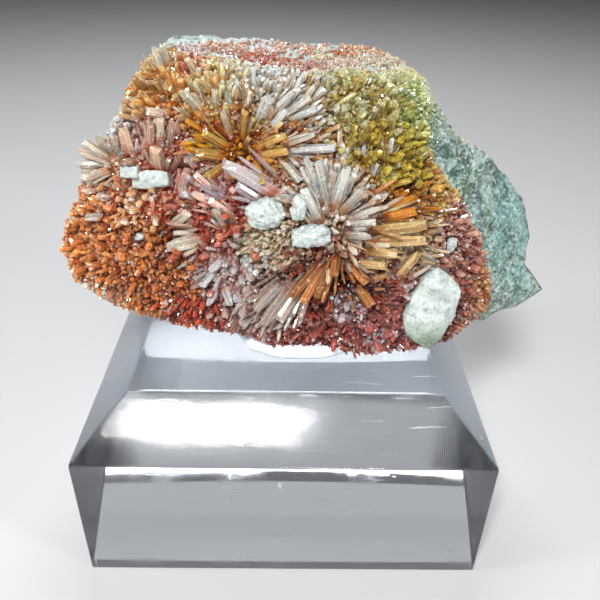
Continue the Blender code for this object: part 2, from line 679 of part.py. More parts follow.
def make_putty(finish):
    """A pressed disc of putty with a bulging side."""
    base = BLOCK_HEIGHT + GAP
    profile = (
        (PUTTY_RADIUS - 0.4, base),
        (PUTTY_RADIUS, base + 0.25 * PUTTY_HEIGHT),
        (PUTTY_RADIUS + 0.1, base + 0.6 * PUTTY_HEIGHT),
        (PUTTY_RADIUS - PUTTY_BULGE, base + PUTTY_HEIGHT),
    )
    work = bmesh.new()
    rings = []
    for radius, height in profile:
        ring = []
        for side in range(PUTTY_SIDES):
            angle = 2.0 * math.pi * side / PUTTY_SIDES
            wobble = 1.0 + 0.035 * math.sin(3.0 * angle + 0.6) + 0.02 * math.sin(5.0 * angle)
            x = PUTTY_CENTRE[0] + radius * wobble * math.cos(angle)
            y = PUTTY_CENTRE[1] + radius * wobble * math.sin(angle)
            ring.append(work.verts.new(Vector((x, y, height)) * MM))
        rings.append(ring)
    for lower, upper in zip(rings, rings[1:]):
        for side in range(PUTTY_SIDES):
            following = (side + 1) % PUTTY_SIDES
            work.faces.new((lower[side], lower[following], upper[following], upper[side]))
    work.faces.new(rings[0][::-1])
    work.faces.new(rings[-1])
    return finished("mounting_putty", work, finish)


def main():
    clear_scene()
    acrylic = material("clear acrylic", (0.75, 0.82, 0.9), 0.05)
    putty = material("white putty", (0.78, 0.82, 0.85), 0.6)
    rock_finish = material("grey-green rock", (0.38, 0.42, 0.37), 0.85)
    creedite = material("creedite", (0.6, 0.25, 0.1), 0.2)
    white = material("white mineral", (0.72, 0.78, 0.73), 0.8)
    make_block(acrylic)
    make_putty(putty)
    bed, rock, crust = outline_radii()
    make_rock(bed, rock, crust, rock_finish)
    crust_body = make_crust(bed, rock, crust, creedite)
    boolean(crust_body, make_crystals(), "UNION", overlapping=True)
    boolean(crust_body, make_lumps(white), "DIFFERENCE")


main()
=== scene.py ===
"""Dresses the creedite cluster: host rock, crust, crystals, white lumps, putty and acrylic block."""
import json
import math
from collections import namedtuple

import bmesh
import bpy
import numpy as np
from mathutils import Matrix, Quaternion, Vector, noise
from mathutils.bvhtree import BVHTree

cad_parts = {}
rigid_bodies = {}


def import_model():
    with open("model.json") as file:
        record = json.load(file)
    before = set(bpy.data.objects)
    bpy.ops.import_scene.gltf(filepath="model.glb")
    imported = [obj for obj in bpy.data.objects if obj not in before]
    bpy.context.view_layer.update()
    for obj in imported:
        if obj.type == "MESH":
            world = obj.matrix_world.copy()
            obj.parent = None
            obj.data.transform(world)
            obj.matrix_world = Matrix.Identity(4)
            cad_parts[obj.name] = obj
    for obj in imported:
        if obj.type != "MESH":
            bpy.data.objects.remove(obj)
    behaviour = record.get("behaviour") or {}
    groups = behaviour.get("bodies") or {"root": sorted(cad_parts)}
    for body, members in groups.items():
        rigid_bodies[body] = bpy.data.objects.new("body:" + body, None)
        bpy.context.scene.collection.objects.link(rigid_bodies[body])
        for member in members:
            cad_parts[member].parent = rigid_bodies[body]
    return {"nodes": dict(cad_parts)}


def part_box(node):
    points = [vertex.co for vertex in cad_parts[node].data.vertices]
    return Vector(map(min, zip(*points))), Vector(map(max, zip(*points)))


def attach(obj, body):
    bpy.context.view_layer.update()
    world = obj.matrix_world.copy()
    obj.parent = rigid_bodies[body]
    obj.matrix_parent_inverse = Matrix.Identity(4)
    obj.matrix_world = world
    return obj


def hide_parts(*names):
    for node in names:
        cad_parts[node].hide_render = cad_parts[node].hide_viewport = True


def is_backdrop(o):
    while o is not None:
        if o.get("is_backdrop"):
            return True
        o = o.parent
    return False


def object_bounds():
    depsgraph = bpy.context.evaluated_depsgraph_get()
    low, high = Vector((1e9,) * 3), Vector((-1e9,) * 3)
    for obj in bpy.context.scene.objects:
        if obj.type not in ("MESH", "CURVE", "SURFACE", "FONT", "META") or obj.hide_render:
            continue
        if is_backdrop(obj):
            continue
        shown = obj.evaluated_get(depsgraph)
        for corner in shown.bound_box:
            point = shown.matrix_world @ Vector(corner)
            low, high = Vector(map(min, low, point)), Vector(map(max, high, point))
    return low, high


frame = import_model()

CAD_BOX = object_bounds()

bl_info = {
    "name": "Creedite cluster",
    "version": (1, 0, 0),
    "blender": (4, 5, 0),
    "location": "View3D > Sidebar > Creedite",
    "description": "Builds the dressed creedite specimen on its display block",
    "category": "Add Mesh",
}

MM = 0.001
BODY = "root"
CHANCE_SEED = 20

# The noise starts from a set state, so that each run gives the same shapes.
noise.seed_set(CHANCE_SEED)

# The leaning face that the crystals grow on, as in the solids: u to the right, v up the face, w out of it.
# Places and sizes in the tables are in millimetres.
FACE_FOOT = Vector((0.0, -14.3, 26.6))
FACE_LEAN = math.radians(20.0)
FACE_RIGHT = Vector((1.0, 0.0, 0.0))
FACE_UP = Vector((0.0, math.sin(FACE_LEAN), math.cos(FACE_LEAN)))
FACE_OUT = Vector((0.0, -math.cos(FACE_LEAN), math.sin(FACE_LEAN)))
FACE_MIDDLE = (0.0, 19.0)

# How low the specimen may hang: at its front edge, and from a little further back on, where the putty is.
LIP_Z = 25.75
LIP_Y = -13.1
UNDERSIDE_Z = 26.5
UNDERSIDE_Y = -12.3

# The rock's front, as in the solids: its level, and where it falls away, as a way, a start, a slope and a
# softness.
BED_LEVEL = -3.2
SIDE_SLOPES = (
    ((1.0, 0.0), 16.0, 0.42, 2.0),
    ((0.0, 1.0), 33.5, 1.05, 1.2),
    ((-1.0, 0.0), 21.0, 0.55, 2.0),
    ((0.0, -1.0), -5.0, 0.35, 1.5),
)

# The crust's edge on the face, from the right side round. Its foot hangs a little below the solid's, as in
# the photograph.
CRUST_OUTLINE = (
    (25.3, 11.7), (24.9, 14.9), (23.6, 16.0), (21.7, 19.1), (20.6, 20.9), (18.2, 23.2), (16.9, 24.5),
    (16.2, 26.8), (16.3, 28.8), (15.7, 33.4), (13.3, 34.4), (10.4, 34.0), (6.9, 34.6), (3.4, 34.2),
    (-0.1, 34.5), (-4.1, 35.1), (-8.2, 35.7), (-11.6, 36.1), (-15.0, 37.0), (-16.6, 36.0), (-17.2, 34.3),
    (-18.5, 32.1), (-20.1, 28.5), (-21.8, 25.6), (-24.8, 22.6), (-25.6, 19.5), (-27.8, 15.6),
    (-28.4, 12.9), (-27.1, 9.4), (-23.5, 7.4), (-20.1, 6.4), (-14.2, 4.5), (-9.8, 3.6), (-4.8, 3.0),
    (-2.1, 1.2), (1.4, 0.2), (5.4, -0.9), (7.8, -0.5), (11.6, -0.6), (14.3, 0.4), (19.1, 1.6), (22.0, 2.6),
    (26.6, 6.1), (26.8, 8.1),
)
CRUST_THICKNESS = 2.5
CRUST_LEAST = 1.3
CRUST_GRAIN = 0.8

# How far the crust's mesh lies under the height that crystals start from, and how far its back is off the
# rock.
CRUST_SINK = 0.2
CRUST_BACK = 0.3

# Mounds and hollows of the crust: u, v, radius and height. The gap beside the large lump is only here.
MOUNDS = {
    "central spray": (5.0, 17.0, 5.5, 2.2),
    "shelf under the white lumps": (-1.5, 18.0, 4.0, 1.0),
    "left crust": (-20.0, 14.0, 6.5, 1.8),
    "left knob": (-20.8, 24.0, 2.6, 1.4),
    "golden mass": (-14.0, 31.0, 4.5, 1.5),
    "rim of the golden flower": (-6.0, 25.5, 6.0, 1.8),
    "hollow of the golden flower": (-6.2, 25.3, 2.2, -3.6),
    "clear cushion": (0.0, 31.0, 3.5, 0.8),
    "olive druse": (9.0, 28.0, 5.5, 1.3),
    "right druse": (20.5, 13.5, 4.5, 0.8),
    "foot of the large white lump": (17.5, 5.0, 4.0, 0.8),
    "root of the tan bundle": (0.5, 9.0, 3.5, 1.2),
    "dark hollow": (6.0, 10.4, 1.6, -2.2),
    "left hollow": (-13.3, 16.4, 1.3, -2.2),
    "gap beside the tablet": (-13.2, 22.6, 1.4, -2.0),
    "gap beside the large lump": (21.3, 6.8, 1.1, -1.8),
}

# The crystals that stand out one by one: the solids' own, and the salmon prisms and the clear rods, which are
# only here. For each group: root colour, tip colour, clearness, and the crystals as root, tip, lift of the
# tip and width.
MAIN_CRYSTALS = {
    "lilac prisms beside the lumps": ("#D07040", "#FAE8F0", 0.7, (
        ((-1.2, 20.5), (-7.3, 24.0), 2.2, 1.9),
        ((-3.2, 19.7), (-6.0, 21.6), 1.6, 1.3),
        ((-7.2, 19.7), (-10.1, 21.4), 1.6, 1.0),
    )),
    "salmon prisms": ("#E0482C", "#FFC8B8", 0.5, (
        ((-13.0, 20.0), (-11.8, 23.4), 1.4, 1.3),
        ((-7.3, 19.4), (-10.9, 22.8), 1.5, 1.0),
        ((-7.6, 18.7), (-11.2, 20.6), 1.7, 1.1),
        ((-5.9, 17.6), (-9.2, 19.8), 1.9, 1.0),
        ((-7.1, 16.6), (-8.8, 18.8), 1.7, 1.2),
        ((-10.9, 16.4), (-13.0, 18.6), 1.2, 0.9),
    )),
    "central spray": ("#D08848", "#FFF8EA", 0.55, (
        ((4.4, 18.6), (1.8, 24.8), 3.2, 1.1),
        ((4.8, 18.9), (3.2, 24.5), 3.8, 1.1),
        ((5.3, 19.0), (6.3, 23.6), 4.2, 1.6),
        ((6.2, 18.6), (8.2, 21.4), 4.0, 1.1),
        ((6.8, 17.8), (10.3, 19.4), 3.4, 1.0),
        ((6.9, 17.1), (9.9, 17.8), 3.6, 1.0),
        ((6.6, 16.0), (9.4, 16.2), 3.8, 1.1),
        ((3.8, 17.2), (1.6, 21.4), 3.6, 1.2),
    )),
    "golden crystals to the right": ("#C0640C", "#FFD898", 0.5, (
        ((10.0, 16.2), (16.2, 17.4), 2.2, 1.9),
        ((9.4, 15.0), (16.1, 15.6), 2.4, 1.4),
        ((9.2, 14.2), (12.8, 13.8), 2.4, 1.3),
        ((8.4, 12.4), (11.6, 12.4), 2.2, 1.2),
        ((13.6, 10.6), (15.8, 14.0), 1.8, 1.4),
    )),
    "amber blocks above them": ("#7A1C08", "#F09C24", 0.5, (
        ((11.2, 18.6), (15.0, 20.5), 1.6, 1.4),
        ((11.0, 17.8), (14.8, 19.0), 2.2, 1.3),
    )),
    "clear rods in the olive druse": ("#C8A860", "#FFFFF8", 0.5, (
        ((8.6, 24.6), (8.6, 26.5), 1.6, 0.65),
        ((11.7, 24.9), (11.8, 27.2), 1.7, 0.7),
        ((9.7, 22.2), (10.2, 24.3), 1.5, 0.6),
    )),
    "clear fan": ("#D09840", "#FFFAEE", 0.6, (
        ((-2.4, 29.4), (0.9, 32.3), 1.8, 1.1),
        ((-0.9, 29.4), (2.2, 31.4), 2.2, 0.9),
        ((-0.6, 28.9), (3.2, 30.2), 2.0, 0.9),
        ((-4.0, 28.0), (-2.3, 31.3), 2.4, 1.6),
        ((-2.8, 27.6), (-0.4, 29.9), 2.8, 1.1),
        ((-1.2, 25.5), (5.2, 26.0), 2.0, 1.2),
        ((-0.8, 26.2), (2.8, 27.4), 2.6, 1.0),
        ((-1.4, 25.2), (1.4, 22.2), 2.0, 1.2),
    )),
    "golden flower": ("#D07008", "#FFCC70", 0.55, (
        ((-4.4, 25.8), (-0.4, 27.2), 2.4, 1.2),
        ((-4.2, 24.9), (-0.2, 25.5), 2.8, 1.1),
        ((-4.2, 24.2), (-3.0, 21.8), 2.6, 1.3),
        ((-7.4, 25.9), (-9.8, 27.4), 2.2, 1.1),
        ((-7.0, 26.9), (-7.6, 29.8), 2.0, 1.1),
        ((-5.6, 26.9), (-5.0, 29.8), 2.4, 1.1),
        ((-8.0, 24.8), (-10.8, 25.2), 2.0, 1.5),
        ((-7.6, 24.0), (-9.6, 22.4), 1.8, 1.1),
    )),
    "golden mass": ("#D09038", "#FFF4D8", 0.7, (
        ((-14.9, 34.4), (-15.6, 36.9), 1.6, 1.0),
        ((-14.2, 34.8), (-14.6, 37.2), 1.4, 0.9),
        ((-10.4, 29.8), (-12.0, 31.6), 2.2, 1.2),
        ((-8.4, 29.9), (-8.5, 32.2), 1.8, 0.9),
        ((-7.0, 29.8), (-7.1, 32.0), 1.8, 0.9),
    )),
    "tall red crystals": ("#B83C10", "#FFD0B4", 0.6, (
        ((-16.1, 25.4), (-15.7, 28.6), 1.6, 1.1),
        ((-15.1, 25.4), (-14.5, 28.9), 1.9, 1.1),
        ((-14.1, 25.6), (-13.2, 28.6), 1.6, 1.1),
        ((-13.2, 29.2), (-16.2, 29.6), 1.4, 1.3),
        ((-12.3, 23.4), (-12.6, 20.0), 1.4, 1.2),
        ((-15.4, 23.2), (-15.2, 25.6), 2.2, 1.8),
        ((-18.6, 25.0), (-18.9, 27.8), 1.4, 1.6),
    )),
    "left knob": ("#E08838", "#FFECD6", 0.6, (
        ((-20.8, 23.9), (-24.0, 25.2), 2.0, 1.2),
        ((-20.6, 23.2), (-23.6, 22.0), 1.6, 1.1),
        ((-20.8, 24.6), (-21.9, 26.8), 2.2, 1.1),
        ((-20.0, 24.4), (-19.9, 26.9), 2.0, 1.0),
        ((-21.2, 23.5), (-24.3, 23.6), 2.6, 1.0),
        ((-21.0, 24.2), (-23.2, 26.2), 2.6, 1.1),
    )),
    "left crust": ("#C0662C", "#FCE4CE", 0.5, (
        ((-22.2, 17.4), (-24.2, 17.4), 1.2, 1.1),
        ((-14.2, 16.4), (-11.8, 18.3), 1.2, 1.4),
        ((-10.3, 15.0), (-14.4, 14.1), 1.4, 1.8),
        ((-7.4, 16.6), (-8.4, 19.0), 1.6, 1.6),
    )),
    "tan bundle": ("#98542C", "#E8D6C8", 0.65, (
        ((1.0, 10.4), (-2.9, 5.2), 2.0, 1.7),
        ((1.8, 10.0), (-1.0, 5.6), 1.8, 1.6),
        ((0.0, 10.6), (-3.8, 6.8), 2.2, 1.4),
    )),
    "red fan": ("#902804", "#E09858", 0.6, (
        ((4.6, 13.2), (0.4, 8.6), 2.4, 1.3),
        ((4.8, 12.8), (1.8, 8.0), 2.8, 1.3),
        ((5.2, 12.6), (3.4, 8.6), 3.0, 1.3),
        ((5.9, 13.4), (5.4, 11.3), 3.2, 1.3),
        ((7.2, 12.8), (9.4, 10.2), 2.2, 1.3),
        ((7.8, 10.6), (10.4, 7.2), 1.8, 1.4),
        ((9.4, 9.8), (12.1, 11.2), 1.4, 1.1),
    )),
    "lower left clear mass": ("#C07860", "#FFF8F4", 0.65, (
        ((-7.4, 12.9), (-9.4, 11.3), 2.0, 1.2),
        ((-8.8, 11.3), (-10.4, 9.4), 1.8, 1.1),
        ((-8.0, 9.4), (-6.9, 7.0), 1.6, 1.1),
    )),
}

# The solids' smaller crystals: centre, half width, half height, focus, depth of the point that they grow
# from, number, length and width.
REGIONS = {
    "left crust": ((-20.6, 13.0), 6.8, 5.4, (-18.0, 13.5), 9.0, 22, 2.3, 1.3),
    "left knob": ((-21.6, 23.6), 2.4, 2.4, (-20.6, 23.8), 2.0, 5, 2.6, 0.9),
    "golden mass": ((-13.4, 30.8), 3.6, 3.6, (-11.5, 27.0), 7.0, 13, 2.4, 1.1),
    "golden flower": ((-6.2, 26.2), 4.6, 4.2, (-6.0, 25.2), 2.5, 12, 3.0, 1.0),
    "clear fan": ((0.8, 29.2), 4.4, 3.6, (-3.0, 25.5), 4.0, 9, 3.0, 0.9),
    "olive druse": ((9.6, 28.4), 5.6, 4.8, (8.0, 25.0), 14.0, 15, 2.2, 1.4),
    "central spray": ((5.6, 17.4), 5.2, 5.0, (5.3, 17.0), 3.0, 17, 4.2, 0.9),
    "right druse": ((21.2, 13.4), 3.8, 5.4, (17.0, 13.0), 9.0, 13, 2.2, 1.3),
    "between spray and druse": ((14.6, 22.6), 3.4, 2.6, (10.0, 20.0), 9.0, 7, 2.4, 1.2),
    "red foot": ((8.6, 5.0), 6.2, 3.0, (8.0, 9.0), 7.0, 11, 2.2, 1.3),
    "left foot": ((-11.5, 7.6), 5.6, 2.6, (-9.0, 12.0), 7.0, 9, 2.2, 1.1),
    "lower left mass": ((-8.4, 12.2), 3.4, 2.8, (-7.0, 13.5), 4.0, 7, 2.6, 1.0),
    "red heart": ((-10.2, 19.2), 3.6, 2.6, (-8.0, 18.0), 5.0, 7, 2.4, 1.1),
}
GOLDEN_ANGLE = math.pi * (3.0 - math.sqrt(5.0))

# How deep a big crystal's root goes into the crust, and how far above the rock it stays at least: so much,
# and so much more for each millimetre of its width.
ROOT_DEPTH = 0.7
SEAT_LIFT = 0.4
SEAT_PER_WIDTH = 0.6

# What grows where. A zone's crystals lean away from a point "depth" below its focus, and wildness turns them
# off that way. Grains is the share of blunt grains among them. Root and tip are the colours at a crystal's two
# ends, and clearness is how much light the tip lets through.
Zone = namedtuple("Zone", "middle halves focus depth length width wildness grains root tip clearness")
ZONES = {
    "left crust":
        Zone((-22.8, 14.4), (6.5, 6.0), (-18.0, 13.5), 8.0, 1.7, 0.68, 1.9, 0.25, "#A4360A", "#F49A50", 0.3),
    "pale lower rim":
        Zone((-23.6, 8.2), (4.4, 1.5), (-20.0, 12.0), 8.0, 1.4, 0.6, 1.6, 0.3, "#B45820", "#FFDCC0", 0.4),
    "left crust, lower":
        Zone((-17.2, 9.6), (6.5, 4.0), (-16.0, 12.5), 9.0, 1.4, 0.52, 2.1, 0.35, "#7C2408", "#EC8C48", 0.25),
    "left knob":
        Zone((-22.3, 24.2), (3.0, 3.0), (-20.4, 23.6), 2.0, 1.7, 0.85, 0.5, 0.1, "#E88838", "#FFF2E2", 0.6),
    "pale corner":
        Zone((-19.5, 27.0), (2.3, 2.3), (-18.5, 25.0), 3.0, 2.0, 0.8, 0.7, 0.1, "#D09A86", "#FCF4F2", 0.45),
    "tall red crystals":
        Zone((-15.2, 27.0), (2.5, 2.8), (-15.0, 23.0), 4.0, 3.0, 0.95, 0.4, 0.1, "#DC5020", "#FFDCCC", 0.45),
    "golden mass":
        Zone((-14.2, 32.4), (4.0, 4.2), (-10.5, 27.0), 5.0, 2.2, 0.75, 1.1, 0.15, "#EC801C", "#FFCC84", 0.45),
    "red pocket":
        Zone((-11.2, 34.9), (1.5, 1.6), (-10.0, 33.0), 6.0, 1.0, 0.6, 1.5, 0.6, "#9A1D0D", "#E79A80", 0.25),
    "pale tan":
        Zone((-9.3, 31.3), (3.0, 2.5), (-8.0, 27.0), 5.0, 2.2, 0.75, 0.6, 0.1, "#FFA030", "#FFF4C0", 0.45),
    "golden flower":
        Zone((-7.0, 26.2), (4.2, 3.8), (-6.2, 25.0), 1.6, 2.5, 0.75, 0.8, 0.1, "#B84406", "#FFB00C", 0.45),
    # Painted shade: dark crystals where the flower's hollow lies in shadow.
    "heart of the golden flower":
        Zone((-6.1, 25.0), (1.5, 1.2), (-6.2, 25.0), 3.0, 1.0, 0.5, 1.0, 0.3, "#3A0A04", "#A0380C", 0.3),
    "rusty edge of the olive druse":
        Zone((16.8, 23.4), (1.1, 1.6), (13.0, 22.0), 5.0, 1.3, 0.6, 1.2, 0.3, "#5A1406", "#CC7038", 0.35),
    "orange spots in the olive druse":
        Zone((9.9, 21.6), (1.0, 0.9), (9.0, 19.0), 4.0, 1.6, 0.65, 0.9, 0.15, "#A83808", "#F4A048", 0.4),
    "clear cushion":
        Zone((-2.0, 33.6), (2.3, 1.2), (-2.0, 31.0), 5.0, 1.2, 0.6, 1.3, 0.4, "#C8D0C8", "#FAFFFF", 0.4),
    "clear fan":
        Zone((0.2, 30.6), (5.0, 3.6), (-3.0, 26.0), 3.0, 2.1, 0.62, 0.8, 0.1, "#CC9030", "#FAF6EA", 0.38),
    "under the fan":
        Zone((0.2, 26.3), (4.0, 2.6), (-3.5, 25.0), 2.5, 2.0, 0.6, 0.8, 0.15, "#CB5E0D", "#E5B26E", 0.45),
    "olive druse, upper":
        Zone((8.2, 31.2), (5.0, 4.0), (6.0, 27.0), 9.0, 2.0, 0.95, 0.9, 0.06, "#D4A82C", "#FCF6B8", 0.6),
    "olive druse":
        Zone((11.9, 25.8), (5.0, 4.4), (9.0, 22.0), 9.0, 2.1, 1.0, 0.9, 0.05, "#BC8A0C", "#FFE258", 0.6),
    "pale green edge":
        Zone((15.0, 30.4), (2.4, 4.0), (11.0, 29.0), 9.0, 0.9, 0.5, 1.6, 0.3, "#88A038", "#E8F2AC", 0.35),
    "salmon needles":
        Zone((-10.0, 21.6), (4.0, 3.0), (-6.5, 18.5), 3.5, 3.6, 1.05, 0.5, 0.1, "#E86850", "#FFF0EA", 0.55),
    "beside the tablet":
        Zone((-16.5, 19.6), (4.0, 3.0), (-16.0, 20.0), 8.0, 2.3, 0.85, 1.1, 0.12, "#E0440A", "#FFC898", 0.3),
    "red heart":
        Zone((-8.8, 17.4), (4.4, 3.0), (-6.0, 17.0), 4.0, 2.8, 0.95, 0.8, 0.12, "#A0200C", "#FF7C58", 0.45),
    "tan felt":
        Zone((-2.0, 14.9), (3.4, 2.4), (2.0, 17.0), 3.0, 1.5, 0.6, 0.4, 0.0, "#FFC48C", "#FFECCC", 0.4),
    "central spray":
        Zone((5.6, 19.6), (5.2, 4.6), (5.2, 16.8), 2.0, 2.6, 0.8, 0.5, 0.1, "#C87838", "#FFF8EA", 0.35),
    "lower spray":
        Zone((5.6, 14.5), (3.8, 2.6), (5.2, 16.8), 2.0, 2.2, 0.75, 0.6, 0.1, "#A22D0D", "#EAD2A9", 0.4),
    "amber blocks":
        Zone((13.6, 19.2), (3.0, 2.5), (9.0, 17.5), 4.0, 2.0, 0.8, 0.6, 0.15, "#7A1C0C", "#C07010", 0.4),
    "golden right":
        Zone((13.6, 15.0), (4.0, 2.6), (8.0, 16.0), 3.0, 2.2, 0.65, 0.45, 0.1, "#A85410", "#E4CCA0", 0.4),
    "right druse":
        Zone((21.2, 16.2), (3.4, 5.0), (17.0, 14.0), 7.0, 1.2, 0.55, 1.7, 0.45, "#8A0A0C", "#F0B4A0", 0.45),
    "right druse, lower":
        Zone((23.6, 9.0), (3.0, 4.6), (18.0, 9.0), 7.0, 1.2, 0.55, 1.7, 0.45, "#6A0810", "#D88468", 0.4),
    "red fan":
        Zone((2.6, 10.2), (3.6, 3.6), (5.4, 13.6), 2.5, 2.2, 0.85, 0.7, 0.1, "#370D0D", "#983916", 0.35),
    "tan bundle":
        Zone((-2.4, 7.8), (3.6, 3.6), (1.6, 11.0), 3.0, 2.2, 0.7, 0.6, 0.1, "#904018", "#DCC4B8", 0.38),
    "clear mass":
        Zone((-6.4, 10.6), (3.2, 3.4), (-5.0, 13.5), 3.5, 3.0, 0.95, 0.7, 0.1, "#E08A78", "#FFFCFA", 0.6),
    "left foot":
        Zone((-11.6, 6.8), (4.4, 2.4), (-9.0, 11.0), 6.0, 1.5, 0.6, 1.5, 0.3, "#510D0D", "#C24528", 0.25),
    "foot":
        Zone((3.6, 3.2), (7.0, 3.0), (4.0, 8.0), 6.0, 1.2, 0.55, 1.6, 0.45, "#5C0A0A", "#B85448", 0.25),
    # Painted shade: near-black crystals in the gap beside the large lump and in the two hollows, where shadow
    # falls.
    "gap beside the large lump":
        Zone((21.5, 7.0), (0.8, 2.4), (19.0, 7.0), 5.0, 0.9, 0.5, 1.2, 0.3, "#1E0606", "#5A1A12", 0.25),
    "dark hollow":
        Zone((5.0, 10.7), (2.4, 1.0), (5.4, 13.6), 3.0, 1.2, 0.55, 1.0, 0.2, "#240606", "#6E1E0C", 0.3),
    "left hollow":
        Zone((-13.4, 15.9), (1.2, 1.5), (-12.0, 14.0), 4.0, 1.2, 0.55, 1.2, 0.2, "#3A0A06", "#A23A1C", 0.3),
    # Painted highlights: white-tipped crystals that stand in for sparkles of light.
    "pale sparkles under the spray":
        Zone((7.6, 6.6), (1.8, 1.5), (6.0, 9.0), 4.0, 1.5, 0.6, 1.2, 0.25, "#8E3C3A", "#F0F0F6", 0.45),
    "pale sparkles at the foot":
        Zone((11.6, 2.6), (1.8, 0.9), (10.0, 6.0), 4.0, 1.2, 0.55, 1.3, 0.3, "#8E3C3A", "#ECE8EE", 0.45),
    "orange right edge":
        Zone((25.2, 8.8), (1.5, 3.4), (19.0, 9.0), 6.0, 1.2, 0.58, 1.5, 0.35, "#8A2A08", "#EAA45C", 0.35),
    # Painted highlights: white-tipped crystals that stand in for sparkles of light.
    "pale sparkles in the right druse":
        Zone((20.6, 13.6), (1.4, 1.4), (18.0, 12.0), 6.0, 1.4, 0.6, 1.2, 0.25, "#94403A", "#F4F0F6", 0.5),
    "right foot":
        Zone((12.0, 4.8), (4.2, 3.6), (9.0, 9.0), 6.0, 1.3, 0.58, 1.6, 0.4, "#620A0C", "#C86E66", 0.25),
    "below the spray":
        Zone((9.8, 9.8), (3.2, 2.6), (6.5, 13.0), 3.0, 2.0, 0.65, 0.8, 0.2, "#3D0D0D", "#A13B0E", 0.3),
    "above the druse":
        Zone((18.4, 21.6), (3.0, 3.2), (13.0, 19.0), 6.0, 1.3, 0.58, 1.4, 0.35, "#B05C04", "#F4C464", 0.35),
    "cream clump":
        Zone((15.2, 11.8), (2.6, 2.0), (13.0, 10.0), 3.0, 1.7, 0.65, 0.9, 0.25, "#B05221", "#FAE9E5", 0.35),
}

# Colours of the bare rock by place: middle, half sizes, colour, strength.
ROCK_PATCHES = {
    "pale top": ((-1.0, 37.6), (18.0, 3.6), "#C8D6D6", 0.95),
    "whiter crest": ((-9.0, 39.2), (7.5, 1.4), "#E6EEEE", 0.9),
    "pale outer slope": ((30.0, 17.0), (5.5, 11.0), "#76A29E", 0.9),
    "dark neck": ((20.6, 24.6), (2.6, 5.0), "#385A4E", 0.9),
    "green neck": ((22.4, 21.6), (2.0, 3.6), "#64845E", 0.6),
    "shaded ledge": ((26.4, 17.0), (0.7, 2.6), "#6A7034", 0.9),
    "pale lower corner": ((31.0, 9.0), (3.5, 3.0), "#7CA49C", 0.6),
    "iron stain beside the druse": ((27.0, 7.0), (1.3, 3.0), "#A8925C", 0.6),
    "red streak": ((-9.6, 38.4), (1.8, 0.6), "#A25A40", 0.8),
    "red streak, lower": ((-7.0, 37.6), (1.8, 0.6), "#96402C", 0.85),
    "red druse": ((-3.4, 36.5), (2.4, 0.9), "#8A2A20", 0.9),
    "red druse to the right": ((1.0, 35.4), (2.8, 0.8), "#93362A", 0.9),
    "red corner": ((-13.6, 37.6), (1.6, 0.8), "#A86448", 0.7),
    "orange grains": ((9.0, 38.0), (2.6, 0.8), "#BE8048", 0.8),
    "cream edge": ((12.4, 37.0), (3.6, 1.4), "#D8CCA4", 0.8),
    "yellow edge": ((16.8, 33.0), (2.0, 3.0), "#B2A854", 0.7),
    "yellow edge, lower": ((18.2, 29.6), (1.6, 3.0), "#84905A", 0.6),
}

# How much the rock's crest stands above the solid's, along u. The rise starts at CREST_FOOT up the face and
# fades out at CREST_BACK behind it, each over a few millimetres.
CREST = ((-17.5, 0.3), (-15.5, 1.1), (-12.0, 0.8), (-10.0, 0.4), (-9.0, -0.3), (-7.0, -0.8), (-5.0, -0.5),
         (-1.0, 0.4), (4.0, 0.8), (8.0, 0.9), (11.0, 0.7), (13.0, 0.2))
CREST_FOOT = 35.5
CREST_SOFTNESS = 2.0
CREST_BACK = -21.0
CREST_DEPTH = 6.0

# How far the rock's right side stands out past the solid's: from which u, over what width, to the right, and
# up the face by v.
SPREAD_FROM = 18.5
SPREAD_OVER = 5.0
SPREAD_OUT = 0.85
SPREAD_UP = ((8.0, -0.9), (12.0, -0.2), (18.0, 0.6))

# The rock's large and small chips, and the thickness under which they get lower, so that none goes through.
LARGE_CHIP = 5.5
SMALL_CHIP = 2.1
THIN_ROCK = 5.0

# Small grains on the bare rock round the crust: middle, half sizes, number, dark and light colour.
RIM_DRUSE = {
    "red streak": ((-9.8, 38.3), (1.6, 0.4), 60, "#8A3420", "#DC9070"),
    "red streak, lower": ((-7.2, 37.6), (1.6, 0.6), 90, "#8A2C1C", "#DC9078"),
    "red druse": ((-4.0, 36.8), (2.2, 0.9), 170, "#7A140E", "#CC5C44"),
    "red druse, lower": ((-1.0, 36.0), (1.8, 0.7), 100, "#7E1C14", "#D07860"),
    "red druse to the right": ((2.4, 35.4), (2.2, 0.9), 150, "#781C14", "#D48C78"),
    "pale grains at the corner": ((-13.0, 37.4), (2.6, 1.0), 140, "#A04C34", "#F0D4C8"),
    "pale grains": ((-8.6, 36.7), (1.8, 0.5), 60, "#B8B0A4", "#F4F8F4"),
    "olive grains": ((3.8, 37.3), (1.5, 1.1), 70, "#8E7420", "#ECE0B4"),
    "pink grains": ((6.4, 35.8), (2.8, 0.9), 140, "#98442C", "#F0CCB4"),
    "scattered grains": ((-1.5, 37.4), (14.0, 2.0), 520, "#842C18", "#DCA08A"),
    "scattered grains to the right": ((11.5, 36.0), (4.0, 1.2), 160, "#A86C34", "#F4DCB8"),
    "red spot": ((5.8, 37.8), (0.8, 0.4), 16, "#A42810", "#E07850"),
    "orange spots": ((8.8, 38.0), (2.8, 0.8), 170, "#9C380C", "#EC9C64"),
    "cream rim": ((11.4, 37.2), (3.4, 0.9), 260, "#A8501C", "#F8D8AC"),
    "yellow corner": ((14.2, 34.8), (2.2, 1.1), 170, "#A07810", "#F0E098"),
    "green edge": ((16.4, 31.6), (1.4, 3.4), 300, "#7C8430", "#E0EAAC"),
    "lower green edge": ((17.6, 27.6), (1.2, 2.2), 120, "#54704C", "#A8C0A0"),
}

# How many small crystals grow on the crust's side wall.
EDGE_CRYSTALS = 2600

WHITE_LUMPS = ("white_tablet", "white_lump_left", "white_lump_middle", "white_block", "large_white_lump",
               "white_grain_left", "white_grain_right")

